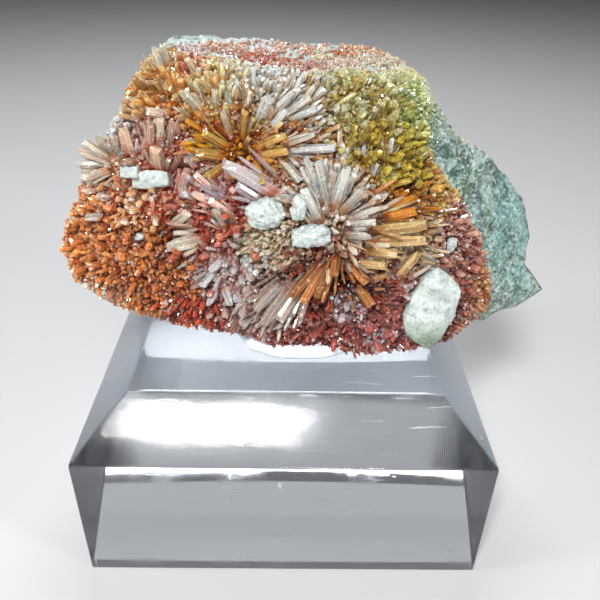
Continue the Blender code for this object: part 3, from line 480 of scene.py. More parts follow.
# The lumps that are made squarer, with the turn of their sides in the face, and how much of the roughness
# they keep.
LUMP_TURNS = {"white_tablet": 0.05, "large_white_lump": 0.9}
SQUARE_CALM = 0.5

# Where the fibres on the lumps fan out from, and how fine they are.
FAN_MIDDLE = (1.0, 16.0)
FAN_FINENESS = 14.0

# The large lump's foot is greyer: below this height on the face, and right of this.
LUMP_FOOT = 6.0
LUMP_SIDE = 12.0

# A lobe that sticks out of a lump: middle on the face, sides.
LOBES = {"white_tablet": ((-18.4, 22.8, 1.6), (2.0, 1.3, 1.2))}

# The block, as in the solids, and the rounding of its edges.
BLOCK_WIDTH = 50.8
BLOCK_HEIGHT = 25.4
BLOCK_BEVEL = 6.35
BLOCK_EDGE = 0.3

# Sizes of the cells that the crust, the putty and the lumps are skinned with, and the size up to which a lump
# counts as a grain.
CRUST_CELL = 0.34
PUTTY_CELL = 0.3
LUMP_CELL = 0.16
GRAIN_CELL = 0.1
GRAIN_SIZE = 3.0

# A hair of air under the block, as under a real one, so that light turns back inside it; half the floor's
# width in metres.
FLOOR_DROP = 0.1 * MM
FLOOR_HALF = 1.2

# The soft boxes: place and side in metres, and power against the main one.
SOFT_BOXES = {
    "main soft box": ((-0.08, -0.24, 0.31), 0.08, 1.0),
    "top soft box": ((0.0, 0.19, 0.36), 0.14, 0.45),
    "left soft box": ((-0.32, -0.08, 0.14), 0.06, 0.3),
    "right soft box": ((0.28, -0.18, 0.16), 0.06, 0.25),
    "low soft box": ((0.05, -0.36, 0.10), 0.04, 0.18),
    "back soft box": ((0.0, 0.42, 0.30), 0.25, 0.035),
}

# The photograph's camera, found from the block's corners.
CAMERA_PLACE = Vector((0.22, -78.37, 75.72))
CAMERA_DOWN = math.radians(32.13)
CAMERA_TURN = math.radians(1.15)
CAMERA_ROLL = math.radians(-1.44)
CAMERA_LENS = 38.34
SENSOR_WIDTH = 36.0
CLIP_START = 0.005

# What the soft boxes point at, in metres, and the studio's own faint light.
LIGHTS_AIM = Vector((0.0, 0.0, 0.035))
STUDIO_TINT = (0.94, 0.96, 1.0, 1.0)
STUDIO_GLOW = 0.08


class StageSettings(bpy.types.PropertyGroup):
    floor_colour: bpy.props.FloatVectorProperty(
        name="Floor", description="Colour of the studio floor", subtype="COLOR", size=3,
        default=(0.48, 0.48, 0.49), min=0.0, max=1.0)
    key_power: bpy.props.FloatProperty(
        name="Key light", description="Power of the main soft box", default=1.8, min=0.0, unit="POWER")


class RockSettings(bpy.types.PropertyGroup):
    fineness: bpy.props.FloatProperty(
        name="Fineness", description="Longest edge in the broken rock's mesh", default=0.75 * MM,
        unit="LENGTH", subtype="DISTANCE")
    ledge: bpy.props.FloatProperty(
        name="Chips", description="Height of the broken facets", default=0.42 * MM,
        unit="LENGTH", subtype="DISTANCE")


class CrystalSettings(bpy.types.PropertyGroup):
    spacing: bpy.props.FloatProperty(
        name="Spacing", description="Distance between fine crystals", default=0.46 * MM, unit="LENGTH",
        subtype="DISTANCE")
    grain_spacing: bpy.props.FloatProperty(
        name="Grain spacing", description="Distance between the sugar grains under them", default=0.5 * MM,
        unit="LENGTH", subtype="DISTANCE")
    length_scale: bpy.props.FloatProperty(
        name="Length", description="Length of all crystals against the real ones", default=1.0, min=0.1)
    width_scale: bpy.props.FloatProperty(
        name="Width", description="Width of all crystals against the real ones", default=1.0, min=0.1)
    unevenness: bpy.props.FloatProperty(
        name="Unevenness", description="How far faces wander from flat", default=0.03 * MM, unit="LENGTH",
        subtype="DISTANCE")


def linear(hex_colour):
    """An sRGB hex colour as linear red, green, blue and alpha."""
    parts = [int(hex_colour[at:at + 2], 16) / 255.0 for at in (1, 3, 5)]
    return [part / 12.92 if part <= 0.04045 else ((part + 0.055) / 1.055) ** 2.4 for part in parts] + [1.0]


def add_node(tree, kind, inputs=None, **settings):
    """Add a node with its settings. An input is a value, a node's output, or a node for its first output."""
    made = tree.nodes.new(kind)
    for name, value in settings.items():
        setattr(made, name, value)
    for name, value in (inputs or {}).items():
        if isinstance(value, bpy.types.Node):
            value = value.outputs[0]
        if isinstance(value, bpy.types.NodeSocket):
            tree.links.new(value, made.inputs[name])
        else:
            made.inputs[name].default_value = value
    return made


def clamped(value, high=1.0):
    return min(max(value, 0.0), high)


def mixed(first, second, share):
    return [a + (b - a) * share for a, b in zip(first, second)]


def scatter(draws):
    """A way that three draws between 0 and 1 give."""
    return Vector((draws[0] - 0.5, draws[1] - 0.5, draws[2] - 0.5))


def world_point(u, v, w):
    """The point at a place on the face, in millimetres."""
    return FACE_FOOT + u * FACE_RIGHT + v * FACE_UP + w * FACE_OUT


def face_coordinates(point):
    """Where a world point in millimetres lies on the face."""
    offset = point - FACE_FOOT
    return offset.dot(FACE_RIGHT), offset.dot(FACE_UP), offset.dot(FACE_OUT)


def face_noise(u, v, scale, layer):
    """Smooth noise over the face, between about -1 and 1."""
    return noise.noise(Vector((u * scale, v * scale, layer)))


def soft_ramp(distance, softness):
    """Nothing before zero and the distance after it, with a soft bend between."""
    if distance > 12.0 * softness:
        return distance
    return softness * math.log1p(math.exp(distance / softness))


def rock_face(u, v):
    """Height of the rock's front, under the crust and beside it."""
    height = BED_LEVEL
    for (along_u, along_v), start, fall, softness in SIDE_SLOPES:
        height -= fall * soft_ramp(u * along_u + v * along_v - start, softness)
    return height


def crust_face(u, v):
    """Height of the crust's front, with its mounds and hollows."""
    thickness = CRUST_THICKNESS
    for mound_u, mound_v, radius, rise in MOUNDS.values():
        distance_squared = (u - mound_u) ** 2 + (v - mound_v) ** 2
        thickness += rise * math.exp(-distance_squared / (2.0 * radius**2))
    thickness += CRUST_GRAIN * face_noise(u, v, 0.9, 3.0)
    return rock_face(u, v) + max(thickness, CRUST_LEAST)


def outline_radius(angle):
    """Distance from the face's middle to the crust's edge, along a direction."""
    away = (math.cos(angle), math.sin(angle))
    reach = 0.0
    for first, second in zip(CRUST_OUTLINE, CRUST_OUTLINE[1:] + CRUST_OUTLINE[:1]):
        start = (first[0] - FACE_MIDDLE[0], first[1] - FACE_MIDDLE[1])
        step = (second[0] - first[0], second[1] - first[1])
        across = away[0] * step[1] - away[1] * step[0]
        if abs(across) < 1e-9:
            continue
        distance = (start[0] * step[1] - start[1] * step[0]) / across
        share = (start[0] * away[1] - start[1] * away[0]) / across
        if distance > 0.0 and -1e-6 <= share <= 1.0 + 1e-6:
            reach = max(reach, distance)
    return reach


def past_outline(u, v):
    """How far a place lies outside the crust's edge, less than nothing inside it."""
    edge = outline_radius(math.atan2(v - FACE_MIDDLE[1], u - FACE_MIDDLE[0]))
    return math.dist((u, v), FACE_MIDDLE) - edge


def lifted(point):
    """Keep a point of the specimen above the block and the putty."""
    share = clamped((point.y - LIP_Y) / (UNDERSIDE_Y - LIP_Y))
    return Vector((point.x, point.y, max(point.z, LIP_Z + share * (UNDERSIDE_Z - LIP_Z))))


def show(name, mesh, replaced):
    """Link a finished mesh as a piece that rides on the body and takes the place of CAD nodes."""
    made = bpy.data.objects.new(name, mesh)
    bpy.context.collection.objects.link(made)
    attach(made, BODY)
    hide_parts(*replaced)


def mesh_of(work, name):
    """A new mesh from a bmesh, which is freed."""
    mesh = bpy.data.meshes.new(name)
    work.to_mesh(mesh)
    work.free()
    return mesh


def changed(source, name, kind, set_up):
    """The plain mesh that one modifier makes of another mesh, which is removed with the modifier."""
    carrier = bpy.data.objects.new(name + " source", source)
    bpy.context.collection.objects.link(carrier)
    set_up(carrier.modifiers.new("step", kind))
    view = bpy.context.evaluated_depsgraph_get()
    mesh = bpy.data.meshes.new_from_object(carrier.evaluated_get(view))
    mesh.name = name
    bpy.data.objects.remove(carrier, do_unlink=True)
    bpy.data.meshes.remove(source)
    return mesh


def remeshed(work, cell, name):
    """A bmesh made into one even skin."""
    def set_up(skin):
        skin.mode = "VOXEL"
        skin.voxel_size = cell * MM

    return without_crumbs(changed(mesh_of(work, name + " rough"), name, "REMESH", set_up))


def without_crumbs(mesh):
    """Keep only the mesh's largest connected part."""
    work = bmesh.new()
    work.from_mesh(mesh)
    unseen = set(work.verts)
    parts = []
    while unseen:
        part = [unseen.pop()]
        for vertex in part:
            for edge in vertex.link_edges:
                other = edge.other_vert(vertex)
                if other in unseen:
                    unseen.remove(other)
                    part.append(other)
        parts.append(part)
    parts.sort(key=len)
    crumbs = [vertex for part in parts[:-1] for vertex in part]
    bmesh.ops.delete(work, geom=crumbs, context="VERTS")
    work.to_mesh(mesh)
    work.free()
    return mesh


# How often long edges are split at most, and how close corners are made one.
SPLITS = 8
THIN_EDGE = 0.01 * MM
WELD = 0.002 * MM


def refined(work, longest, name):
    """A bmesh with its long edges split, its thin corners kept, as a mesh."""
    for _ in range(SPLITS):
        long_edges = [edge for edge in work.edges if edge.calc_length() > longest]
        if not long_edges:
            break
        bmesh.ops.subdivide_edges(work, edges=long_edges, cuts=1)
        bmesh.ops.triangulate(work, faces=work.faces[:])
    bmesh.ops.dissolve_degenerate(work, edges=work.edges[:], dist=THIN_EDGE)
    bmesh.ops.triangulate(work, faces=work.faces[:])
    mesh = mesh_of(work, name)
    mesh.validate()
    return mesh


def node_copy(node):
    """A welded bmesh copy of a CAD node, in its place."""
    source = frame["nodes"][node]
    work = bmesh.new()
    work.from_mesh(source.data)
    work.transform(source.matrix_world)
    bmesh.ops.remove_doubles(work, verts=work.verts[:], dist=WELD)
    return work


def push(mesh, shift):
    """Move each vertex by a function of its place and its normal, both in millimetres."""
    normals = [vertex.normal.copy() for vertex in mesh.vertices]
    for vertex, normal in zip(mesh.vertices, normals):
        vertex.co += shift(vertex.co / MM, normal) * MM


def facets(point, size, seed):
    """A chipped surface: flat patches of one size that tilt at random."""
    spot = point / size + Vector((seed, 0.0, 0.0))
    nearest = noise.voronoi(spot)[1][0]
    return (spot - nearest).dot(noise.noise_vector(nearest * 7.31)) + 0.5 * noise.noise(nearest * 3.17)


def paint(mesh, name, colour_of):
    """Store a colour for each vertex."""
    layer = mesh.attributes.new(name, "FLOAT_COLOR", "POINT")
    values = np.empty((len(mesh.vertices), 4), np.float32)
    for index, vertex in enumerate(mesh.vertices):
        values[index] = colour_of(vertex.co / MM)
    layer.data.foreach_set("color", values.ravel())


def square_up(work, turn):
    """Swell a rounded lump's corners, so that it looks broken off rather than rolled."""
    side = math.cos(turn) * FACE_RIGHT + math.sin(turn) * FACE_UP
    axes = (side, FACE_OUT.cross(side), FACE_OUT)
    places = [[vertex.co.dot(axis) for axis in axes] for vertex in work.verts]
    low = [min(column) for column in zip(*places)]
    high = [max(column) for column in zip(*places)]
    for vertex, place in zip(work.verts, places):
        shares = [(2.0 * part - least - most) / (most - least)
                  for part, least, most in zip(place, low, high)]
        round_size = math.sqrt(sum(share ** 2 for share in shares))
        square_size = sum(abs(share) ** 5 for share in shares) ** 0.2
        if round_size > 0.3:
            swell = min(round_size / square_size, 1.35)
            vertex.co = Vector((0.0, 0.0, 0.0))
            for axis, share, least, most in zip(axes, shares, low, high):
                middle, half = 0.5 * (least + most), 0.5 * (most - least)
                reach = max(-1.0, min(1.0, share * (0.4 + 0.6 * swell)))
                vertex.co += axis * (middle + half * reach)


def light_edges_shade_creases(mesh, name, edge_highlight, deep):
    """Over the painted colour, lighten edges that stick out and darken creases: a painted highlight on the
    edges and painted shade in the creases.
    """
    work = bmesh.new()
    work.from_mesh(mesh)
    work.normal_update()
    layer = mesh.attributes[name].data
    for vertex in work.verts:
        bend = 0.0
        for edge in vertex.link_edges:
            way = edge.other_vert(vertex).co - vertex.co
            bend += way.normalized().dot(vertex.normal) / len(vertex.link_edges)
        own = mixed(list(layer[vertex.index].color), edge_highlight, clamped((-bend - 0.12) * 3.0, 0.8))
        layer[vertex.index].color = mixed(own, deep, clamped((bend - 0.1) * 2.5, 0.7))
    work.free()


def near_zones(u, v):
    """The two nearest zones to a place on the face, as (distance, zone), with uneven borders."""
    wander_u = u + 0.9 * face_noise(u, v, 0.55, 31.0)
    wander_v = v + 0.9 * face_noise(u, v, 0.55, 57.0)
    found = []
    for zone in ZONES.values():
        (centre_u, centre_v), (half_u, half_v) = zone.middle, zone.halves
        distance = ((wander_u - centre_u) / half_u) ** 2 + ((wander_v - centre_v) / half_v) ** 2
        found.append((distance, zone))
    found.sort(key=lambda pair: pair[0])
    return found[:2]


def new_material(name):
    """An empty material and its tree."""
    made = bpy.data.materials.new(name)
    made.use_nodes = True
    made.node_tree.nodes.clear()
    return made, made.node_tree


# A pattern's scale counts its cells in a metre: 1.1 / MM gives cells 0.9 mm across.


def creedite_material():
    """Creedite, a clear glassy mineral: glossy grown faces, pale see-through tips, iron-red cloudy roots."""
    made, tree = new_material("creedite crystal, grown faces")
    along, around, root, tip, clear, own = (
        add_node(tree, "ShaderNodeAttribute", attribute_name=name).outputs[output]
        for name, output in (("along", "Fac"), ("around", "Fac"), ("root_tint", "Color"),
                             ("tip_tint", "Color"), ("clearness", "Fac"), ("own_number", "Fac")))
    place = add_node(tree, "ShaderNodeTexCoord").outputs["Object"]
    # Veils 0.9 mm across make the change from the cloudy root to the clear tip uneven.
    veils = add_node(tree, "ShaderNodeTexNoise", {"Vector": place, "Scale": 1.1 / MM, "Detail": 3.0})
    shifted = add_node(tree, "ShaderNodeMath", {0: veils, 1: 0.8, 2: along}, operation="MULTIPLY_ADD")
    fade = add_node(tree, "ShaderNodeMapRange", {"Value": shifted, "From Min": 0.4, "From Max": 1.05},
                    interpolation_type="SMOOTHSTEP")
    body = add_node(tree, "ShaderNodeMix", {"Factor": fade, 6: root, 7: tip}, data_type="RGBA").outputs[2]
    # Streaks run up each face, as growth lines do, and each face gets its own brightness: painted light and
    # shade.
    lines_at = add_node(tree, "ShaderNodeCombineXYZ", {"X": around, "Y": along, "Z": own})
    stretched = add_node(tree, "ShaderNodeMapping", {"Vector": lines_at, "Scale": (4.5, 1.3, 1.0)})
    lines = add_node(tree, "ShaderNodeTexNoise", {"Vector": stretched, "Scale": 1.0, "Detail": 3.0})
    streak = add_node(tree, "ShaderNodeMapRange",
                      {"Value": lines, "From Min": 0.34, "From Max": 0.6, "To Min": 0.8, "To Max": 1.1})
    side = add_node(tree, "ShaderNodeMath", {0: around}, operation="FLOOR")
    side_at = add_node(tree, "ShaderNodeCombineXYZ", {"X": side, "Y": own})
    dice = add_node(tree, "ShaderNodeTexWhiteNoise", {"Vector": side_at}, noise_dimensions="2D")
    # Painted light and shade: each face a random brightness, standing in for light reflected inside the
    # crystal.
    painted_face_light = add_node(tree, "ShaderNodeMapRange", {"Value": dice, "To Min": 0.5, "To Max": 1.18})
    tone = add_node(tree, "ShaderNodeMath", {0: streak, 1: painted_face_light}, operation="MULTIPLY")
    toned = add_node(tree, "ShaderNodeVectorMath", {0: body, "Scale": tone}, operation="SCALE")
    across = add_node(tree, "ShaderNodeMath", {0: around}, operation="FRACT")
    off_middle = add_node(tree, "ShaderNodeMath", {0: across, 1: 0.5}, operation="SUBTRACT")
    to_edge = add_node(tree, "ShaderNodeMath", {0: off_middle}, operation="ABSOLUTE")
    # The edges between the faces are painted pale, and so are flecks 0.4 mm apart, coarser than real ones to
    # show: a painted highlight, mixed towards white.
    edge = add_node(tree, "ShaderNodeMapRange",
                    {"Value": to_edge, "From Min": 0.41, "From Max": 0.5, "To Min": 0.0, "To Max": 0.72})
    flecks = add_node(tree, "ShaderNodeTexNoise", {"Vector": place, "Scale": 2.6 / MM, "Detail": 2.0})
    painted_speck_highlight = add_node(tree, "ShaderNodeMapRange",
                     {"Value": flecks, "From Min": 0.6, "From Max": 0.66, "To Min": 0.0, "To Max": 0.6})
    white = add_node(tree, "ShaderNodeMath", {0: edge, 1: painted_speck_highlight}, operation="MAXIMUM")
    faded = add_node(tree, "ShaderNodeMapRange", {"Value": fade, "To Min": 0.1, "To Max": 1.0})
    light = add_node(tree, "ShaderNodeMath", {0: white, 1: faded}, operation="MULTIPLY")
    painted_highlight_tint = add_node(tree, "ShaderNodeMix", {"Factor": 0.3, 6: tip, 7: linear("#FFFBF4")},
                     data_type="RGBA").outputs[2]
    colour = add_node(tree, "ShaderNodeMix", {"Factor": light, 6: toned, 7: painted_highlight_tint},
                      data_type="RGBA").outputs[2]
    glass = add_node(tree, "ShaderNodeMapRange", {"Value": fade, "To Min": 0.3, "To Max": 1.0})
    through = add_node(tree, "ShaderNodeMath", {0: glass, 1: clear}, operation="MULTIPLY")
    # Where the painted highlight lies, less light goes through.
    cloudy = add_node(tree, "ShaderNodeMapRange", {"Value": light, "To Min": 1.0, "To Max": 0.2})
    let_through = add_node(tree, "ShaderNodeMath", {0: through, 1: cloudy}, operation="MULTIPLY")
    rough = add_node(tree, "ShaderNodeMapRange",
                     {"Value": veils, "From Min": 0.35, "From Max": 0.75, "To Min": 0.03, "To Max": 0.2})
    bump = add_node(tree, "ShaderNodeBump", {"Height": lines, "Strength": 0.3, "Distance": 0.05 * MM})
    shader = add_node(tree, "ShaderNodeBsdfPrincipled",
                      {"Base Color": colour, "Roughness": rough, "Transmission Weight": let_through,
                       "Normal": bump, "IOR": 1.48, "Coat Weight": 0.2, "Coat Roughness": 0.03,
                       "Subsurface Weight": 0.7, "Subsurface Radius": (1.0, 0.72, 0.5),
                       "Subsurface Scale": 0.9 * MM})
    add_node(tree, "ShaderNodeOutputMaterial", {"Surface": shader})
    return made


def crust_material():
    """Creedite crust, a sugary iron-stained base: dull red to tan with tiny glints."""
    made, tree = new_material("iron-stained creedite crust")
    tint = add_node(tree, "ShaderNodeAttribute", attribute_name="tint")
    place = add_node(tree, "ShaderNodeTexCoord").outputs["Object"]
    # Sugary grains 0.45 mm across, in clouds of 1.4 mm.
    grain = add_node(tree, "ShaderNodeTexVoronoi", {"Vector": place, "Scale": 2.2 / MM})
    cloud = add_node(tree, "ShaderNodeTexNoise", {"Vector": place, "Scale": 0.7 / MM, "Detail": 4.0})
    shade = add_node(tree, "ShaderNodeMapRange",
                     {"Value": cloud, "From Min": 0.3, "From Max": 0.7, "To Min": 0.45, "To Max": 1.25})
    colour = add_node(tree, "ShaderNodeMix", {"Factor": 1.0, 6: tint, 7: shade}, data_type="RGBA",
                      blend_type="MULTIPLY").outputs[2]
    rough = add_node(tree, "ShaderNodeMapRange",
                     {"Value": grain.outputs["Color"], "To Min": 0.15, "To Max": 0.7})
    bump = add_node(tree, "ShaderNodeBump",
                    {"Height": grain.outputs["Distance"], "Strength": 0.8, "Distance": 0.2 * MM})
    shader = add_node(tree, "ShaderNodeBsdfPrincipled",
                      {"Base Color": colour, "Roughness": rough, "Normal": bump, "IOR": 1.46})
    add_node(tree, "ShaderNodeOutputMaterial", {"Surface": shader})
    return made


def rock_material():
    """Altered host rock, broken: grey-green to bluish white in mottles, dark specks, sugary glints; dull."""
    made, tree = new_material("altered host rock, broken")
    tint = add_node(tree, "ShaderNodeAttribute", attribute_name="tint")
    place = add_node(tree, "ShaderNodeTexCoord").outputs["Object"]
    # Mottles 2.4 mm across, with pale frosty ones of 2 mm over them.
    clouds = add_node(tree, "ShaderNodeTexNoise",
                      {"Vector": place, "Scale": 0.42 / MM, "Detail": 7.0, "Roughness": 0.65})
    shade = add_node(tree, "ShaderNodeMapRange",
                     {"Value": clouds, "From Min": 0.38, "From Max": 0.64, "To Min": 0.52, "To Max": 1.14})
    toned = add_node(tree, "ShaderNodeMix", {"Factor": 1.0, 6: tint, 7: shade}, data_type="RGBA",
                     blend_type="MULTIPLY").outputs[2]
    frost = add_node(tree, "ShaderNodeTexNoise",
                     {"Vector": place, "Scale": 0.48 / MM, "Detail": 6.0, "Roughness": 0.7,
                      "Distortion": 0.8})
    frosty = add_node(tree, "ShaderNodeMapRange",
                      {"Value": frost, "From Min": 0.48, "From Max": 0.6, "To Min": 0.0, "To Max": 0.75})
    pale = add_node(tree, "ShaderNodeMix", {"Factor": frosty, 6: toned, 7: linear("#B4CCC6")},
                    data_type="RGBA").outputs[2]
    # Grains 0.33 mm across: some are dark specks, and some are painted bright, a painted glint, and are
    # smoother, so that they catch the light.
    grains = add_node(tree, "ShaderNodeTexVoronoi", {"Vector": place, "Scale": 3.0 / MM})
    speck = add_node(tree, "ShaderNodeMapRange",
                     {"Value": grains.outputs["Color"], "From Min": 0.36, "From Max": 0.12,
                      "To Min": 0.0, "To Max": 0.75})
    specked = add_node(tree, "ShaderNodeMix", {"Factor": speck, 6: pale, 7: linear("#35433E")},
                       data_type="RGBA").outputs[2]
    bright = add_node(tree, "ShaderNodeMapRange",
                      {"Value": grains.outputs["Color"], "From Min": 0.6, "From Max": 0.9,
                       "To Min": 0.0, "To Max": 0.6})
    colour = add_node(tree, "ShaderNodeMix", {"Factor": bright, 6: specked, 7: linear("#D2E4E0")},
                      data_type="RGBA").outputs[2]
    rough = add_node(tree, "ShaderNodeMapRange", {"Value": bright, "To Min": 0.8, "To Max": 0.25})
    fine = add_node(tree, "ShaderNodeTexNoise",
                    {"Vector": place, "Scale": 1.1 / MM, "Detail": 6.0, "Roughness": 0.7})
    bump = add_node(tree, "ShaderNodeBump", {"Height": fine, "Strength": 1.0, "Distance": 0.9 * MM})
    shader = add_node(tree, "ShaderNodeBsdfPrincipled",
                      {"Base Color": colour, "Roughness": rough, "Normal": bump, "IOR": 1.5})
    add_node(tree, "ShaderNodeOutputMaterial", {"Surface": shader})
    return made


def white_material():
    """White clay-like mineral, chalky: opaque, granular, pitted, a faint green shade."""
    made, tree = new_material("white mineral, chalky")
    place = add_node(tree, "ShaderNodeTexCoord").outputs["Object"]
    # Grains and pits 0.4 mm across, coarser than the real ones to show.
    grains = add_node(tree, "ShaderNodeTexNoise", {"Vector": place, "Scale": 2.4 / MM, "Detail": 5.0})
    pits = add_node(tree, "ShaderNodeMapRange",
                    {"Value": grains, "From Min": 0.3, "From Max": 0.5, "To Min": 0.0, "To Max": 1.0})
    chalk = add_node(tree, "ShaderNodeMix", {"Factor": pits, 6: linear("#8A918F"), 7: linear("#ABB3AF")},
                     data_type="RGBA").outputs[2]
    tint = add_node(tree, "ShaderNodeAttribute", attribute_name="tint")
    colour = add_node(tree, "ShaderNodeMix", {"Factor": 1.0, 6: chalk, 7: tint}, data_type="RGBA",
                      blend_type="MULTIPLY").outputs[2]
    bump = add_node(tree, "ShaderNodeBump", {"Height": grains, "Strength": 1.0, "Distance": 0.25 * MM})
    shader = add_node(tree, "ShaderNodeBsdfPrincipled",
                      {"Base Color": colour, "Roughness": 0.6, "Normal": bump, "IOR": 1.5})
    add_node(tree, "ShaderNodeOutputMaterial", {"Surface": shader})
    return made


def acrylic_material():
    """Cast acrylic, sawn and polished: clear with a cool cast, saw lines and hairline scratches."""
    made, tree = new_material("cast acrylic, polished")
    place = add_node(tree, "ShaderNodeTexCoord").outputs["Object"]
    # A wave's lines are 0.31 of a cell apart, so the saw lines on the bevel are 0.25 mm apart.
    saw = add_node(tree, "ShaderNodeTexWave",
                   {"Vector": place, "Scale": 1.25 / MM, "Distortion": 1.5, "Detail": 2.0,
                    "Detail Scale": 0.3},
                   wave_type="BANDS", bands_direction="X").outputs["Fac"]
    split = add_node(tree, "ShaderNodeSeparateXYZ", {"Vector": place}).outputs["Z"]
    low = add_node(tree, "ShaderNodeMapRange",
                   {"Value": split, "From Min": 18.9 * MM, "From Max": 19.2 * MM})
    high = add_node(tree, "ShaderNodeMapRange",
                    {"Value": split, "From Min": 25.3 * MM, "From Max": 25.1 * MM})
    on_bevel = add_node(tree, "ShaderNodeMath", {0: low, 1: high}, operation="MULTIPLY")
    saw_share = add_node(tree, "ShaderNodeMath", {0: saw, 1: on_bevel}, operation="MULTIPLY")
    # Scratches 9 mm long and 0.65 mm wide, wider than the real ones to show, and haze in clouds of 7 mm.
    scratch_map = add_node(tree, "ShaderNodeMapping",
                           {"Vector": place, "Rotation": (0.0, 0.0, 0.7), "Scale": (1.0, 14.0, 14.0)})
    scratch = add_node(tree, "ShaderNodeTexNoise",
                       {"Vector": scratch_map, "Scale": 0.11 / MM, "Detail": 3.0, "Distortion": 0.8})
    fine = add_node(tree, "ShaderNodeMapRange",
                    {"Value": scratch, "From Min": 0.69, "From Max": 0.73, "To Min": 0.0, "To Max": 1.0})
    haze = add_node(tree, "ShaderNodeTexNoise", {"Vector": place, "Scale": 0.14 / MM, "Detail": 4.0})
    haze_rough = add_node(tree, "ShaderNodeMapRange",
                          {"Value": haze, "From Min": 0.45, "From Max": 0.8, "To Min": 0.02, "To Max": 0.12})
    scratched = add_node(tree, "ShaderNodeMath", {0: fine, 1: 0.35, 2: haze_rough}, operation="MULTIPLY_ADD")
    rough = add_node(tree, "ShaderNodeMath", {0: saw_share, 1: 0.16, 2: scratched}, operation="MULTIPLY_ADD")
    heights = add_node(tree, "ShaderNodeMath", {0: saw_share, 1: fine}, operation="SUBTRACT")
    bump = add_node(tree, "ShaderNodeBump", {"Height": heights, "Strength": 0.25, "Distance": 0.03 * MM})
    shader = add_node(tree, "ShaderNodeBsdfPrincipled",
                      {"Base Color": linear("#F4F9FF"), "Roughness": rough, "Normal": bump,
                       "Transmission Weight": 1.0, "IOR": 1.49})
    add_node(tree, "ShaderNodeOutputMaterial", {"Surface": shader})
    return made


def putty_material():
    """White mineral tack, pressed by hand: dull, soft, faintly blue, in clouds of 3 mm."""
    made, tree = new_material("mineral tack, pressed")
    place = add_node(tree, "ShaderNodeTexCoord").outputs["Object"]
    cloud = add_node(tree, "ShaderNodeTexNoise", {"Vector": place, "Scale": 0.32 / MM, "Detail": 4.0})
    colour = add_node(tree, "ShaderNodeMix", {"Factor": cloud, 6: linear("#C9D6DF"), 7: linear("#F2F6F8")},
                      data_type="RGBA").outputs[2]
    bump = add_node(tree, "ShaderNodeBump", {"Height": cloud, "Strength": 0.5, "Distance": 0.3 * MM})
    shader = add_node(tree, "ShaderNodeBsdfPrincipled",
                      {"Base Color": colour, "Roughness": 0.55, "Normal": bump, "IOR": 1.48})
    add_node(tree, "ShaderNodeOutputMaterial", {"Surface": shader})
    return made


# How far across a side each of its corners is, for a side with three or four corners.
ACROSS = {3: (0.0, 1.0, 0.5), 4: (0.0, 1.0, 1.0, 0.0)}


def crystal_template(name, section, shoulder, chisel, rings):
    """One crystal, a unit high and a unit across, closed. Along runs up it, and around counts its edges."""
    work = bmesh.new()
    along = work.verts.layers.float.new("along")
    around = work.loops.layers.float.new("around")
    count = len(section)
    levels = []
    for step in range(rings + 1):
        height = shoulder * step / rings
        swell = 0.86 + 0.14 * math.sin(math.pi * min(1.0, 0.25 + height))
        levels.append([work.verts.new((0.5 * side * swell, 0.5 * rise * swell, height))
                       for side, rise in section])
    ridge = {sign: work.verts.new((0.5 * sign * chisel, 0.04 * sign, 1.0)) for sign in (1.0, -1.0)}
    work.faces.new(levels[0][::-1])
    high = levels[-1]
    for corner in range(count):
        following = (corner + 1) % count
        sides = [(lower[corner], lower[following], upper[following], upper[corner])
                 for lower, upper in zip(levels, levels[1:])]
        near = ridge[1.0 if section[corner][0] > 0.0 else -1.0]
        far = ridge[1.0 if section[following][0] > 0.0 else -1.0]
        sides.append((high[corner], high[following], near) if near is far
                     else (high[corner], high[following], far, near))
        for points in sides:
            face = work.faces.new(points)
            for loop, value in zip(face.loops, ACROSS[len(points)]):
                loop[around] = corner + value
    for vertex in work.verts:
        vertex[along] = vertex.co.z
    bmesh.ops.recalc_face_normals(work, faces=work.faces[:])
    return bpy.data.objects.new(name, mesh_of(work, name))


def grain_template(name):
    """One blunt grain: a lopsided box."""
    work = bmesh.new()
    along = work.verts.layers.float.new("along")
    around = work.loops.layers.float.new("around")
    bmesh.ops.create_cube(work, size=1.0)
    for vertex in work.verts:
        vertex.co += 0.25 * noise.noise_vector(vertex.co * 3.7)
        vertex.co.z += 0.5
        vertex.co.xy *= 1.0 - 0.3 * vertex.co.z
        vertex[along] = vertex.co.z
    for face in work.faces:
        for index, loop in enumerate(face.loops):
            loop[around] = face.index + ACROSS[4][index]
    bmesh.ops.recalc_face_normals(work, faces=work.faces[:])
    return bpy.data.objects.new(name, mesh_of(work, name))


# A crystal's cross sections, and the kind that is a grain.
SIX_SIDES = ((1.0, 0.1), (0.5, 0.9), (-0.5, 1.0), (-1.0, -0.1), (-0.5, -0.9), (0.5, -1.0))
FOUR_SIDES = ((0.95, 0.7), (-0.8, 0.9), (-0.95, -0.7), (0.8, -0.9))
EIGHT_SIDES = ((1.0, 0.25), (0.75, 0.85), (0.1, 1.0), (-0.7, 0.9), (-1.0, 0.1), (-0.75, -0.85), (-0.1, -1.0),
               (0.7, -0.9))
GRAIN = 5


def crystal_templates():
    """The kinds of crystal: a stout and a blunt prism, two six-sided ones, a needle and a grain."""
    kinds = bpy.data.collections.new("crystal kinds")
    bpy.context.scene.collection.children.link(kinds)
    for name, section, shoulder, chisel, rings in (
        ("kind 0 stout prism", EIGHT_SIDES, 0.8, 0.5, 3),
        ("kind 1 blunt prism", EIGHT_SIDES, 0.92, 0.75, 3),
        ("kind 2 six-sided prism", SIX_SIDES, 0.76, 0.35, 1),
        ("kind 3 blunt six-sided prism", SIX_SIDES, 0.9, 0.65, 1),
        ("kind 4 needle", FOUR_SIDES, 0.7, 0.3, 1),
    ):
        kinds.objects.link(crystal_template(name, section, shoulder, chisel, rings))
    kinds.objects.link(grain_template("kind 5 grain"))
    return kinds


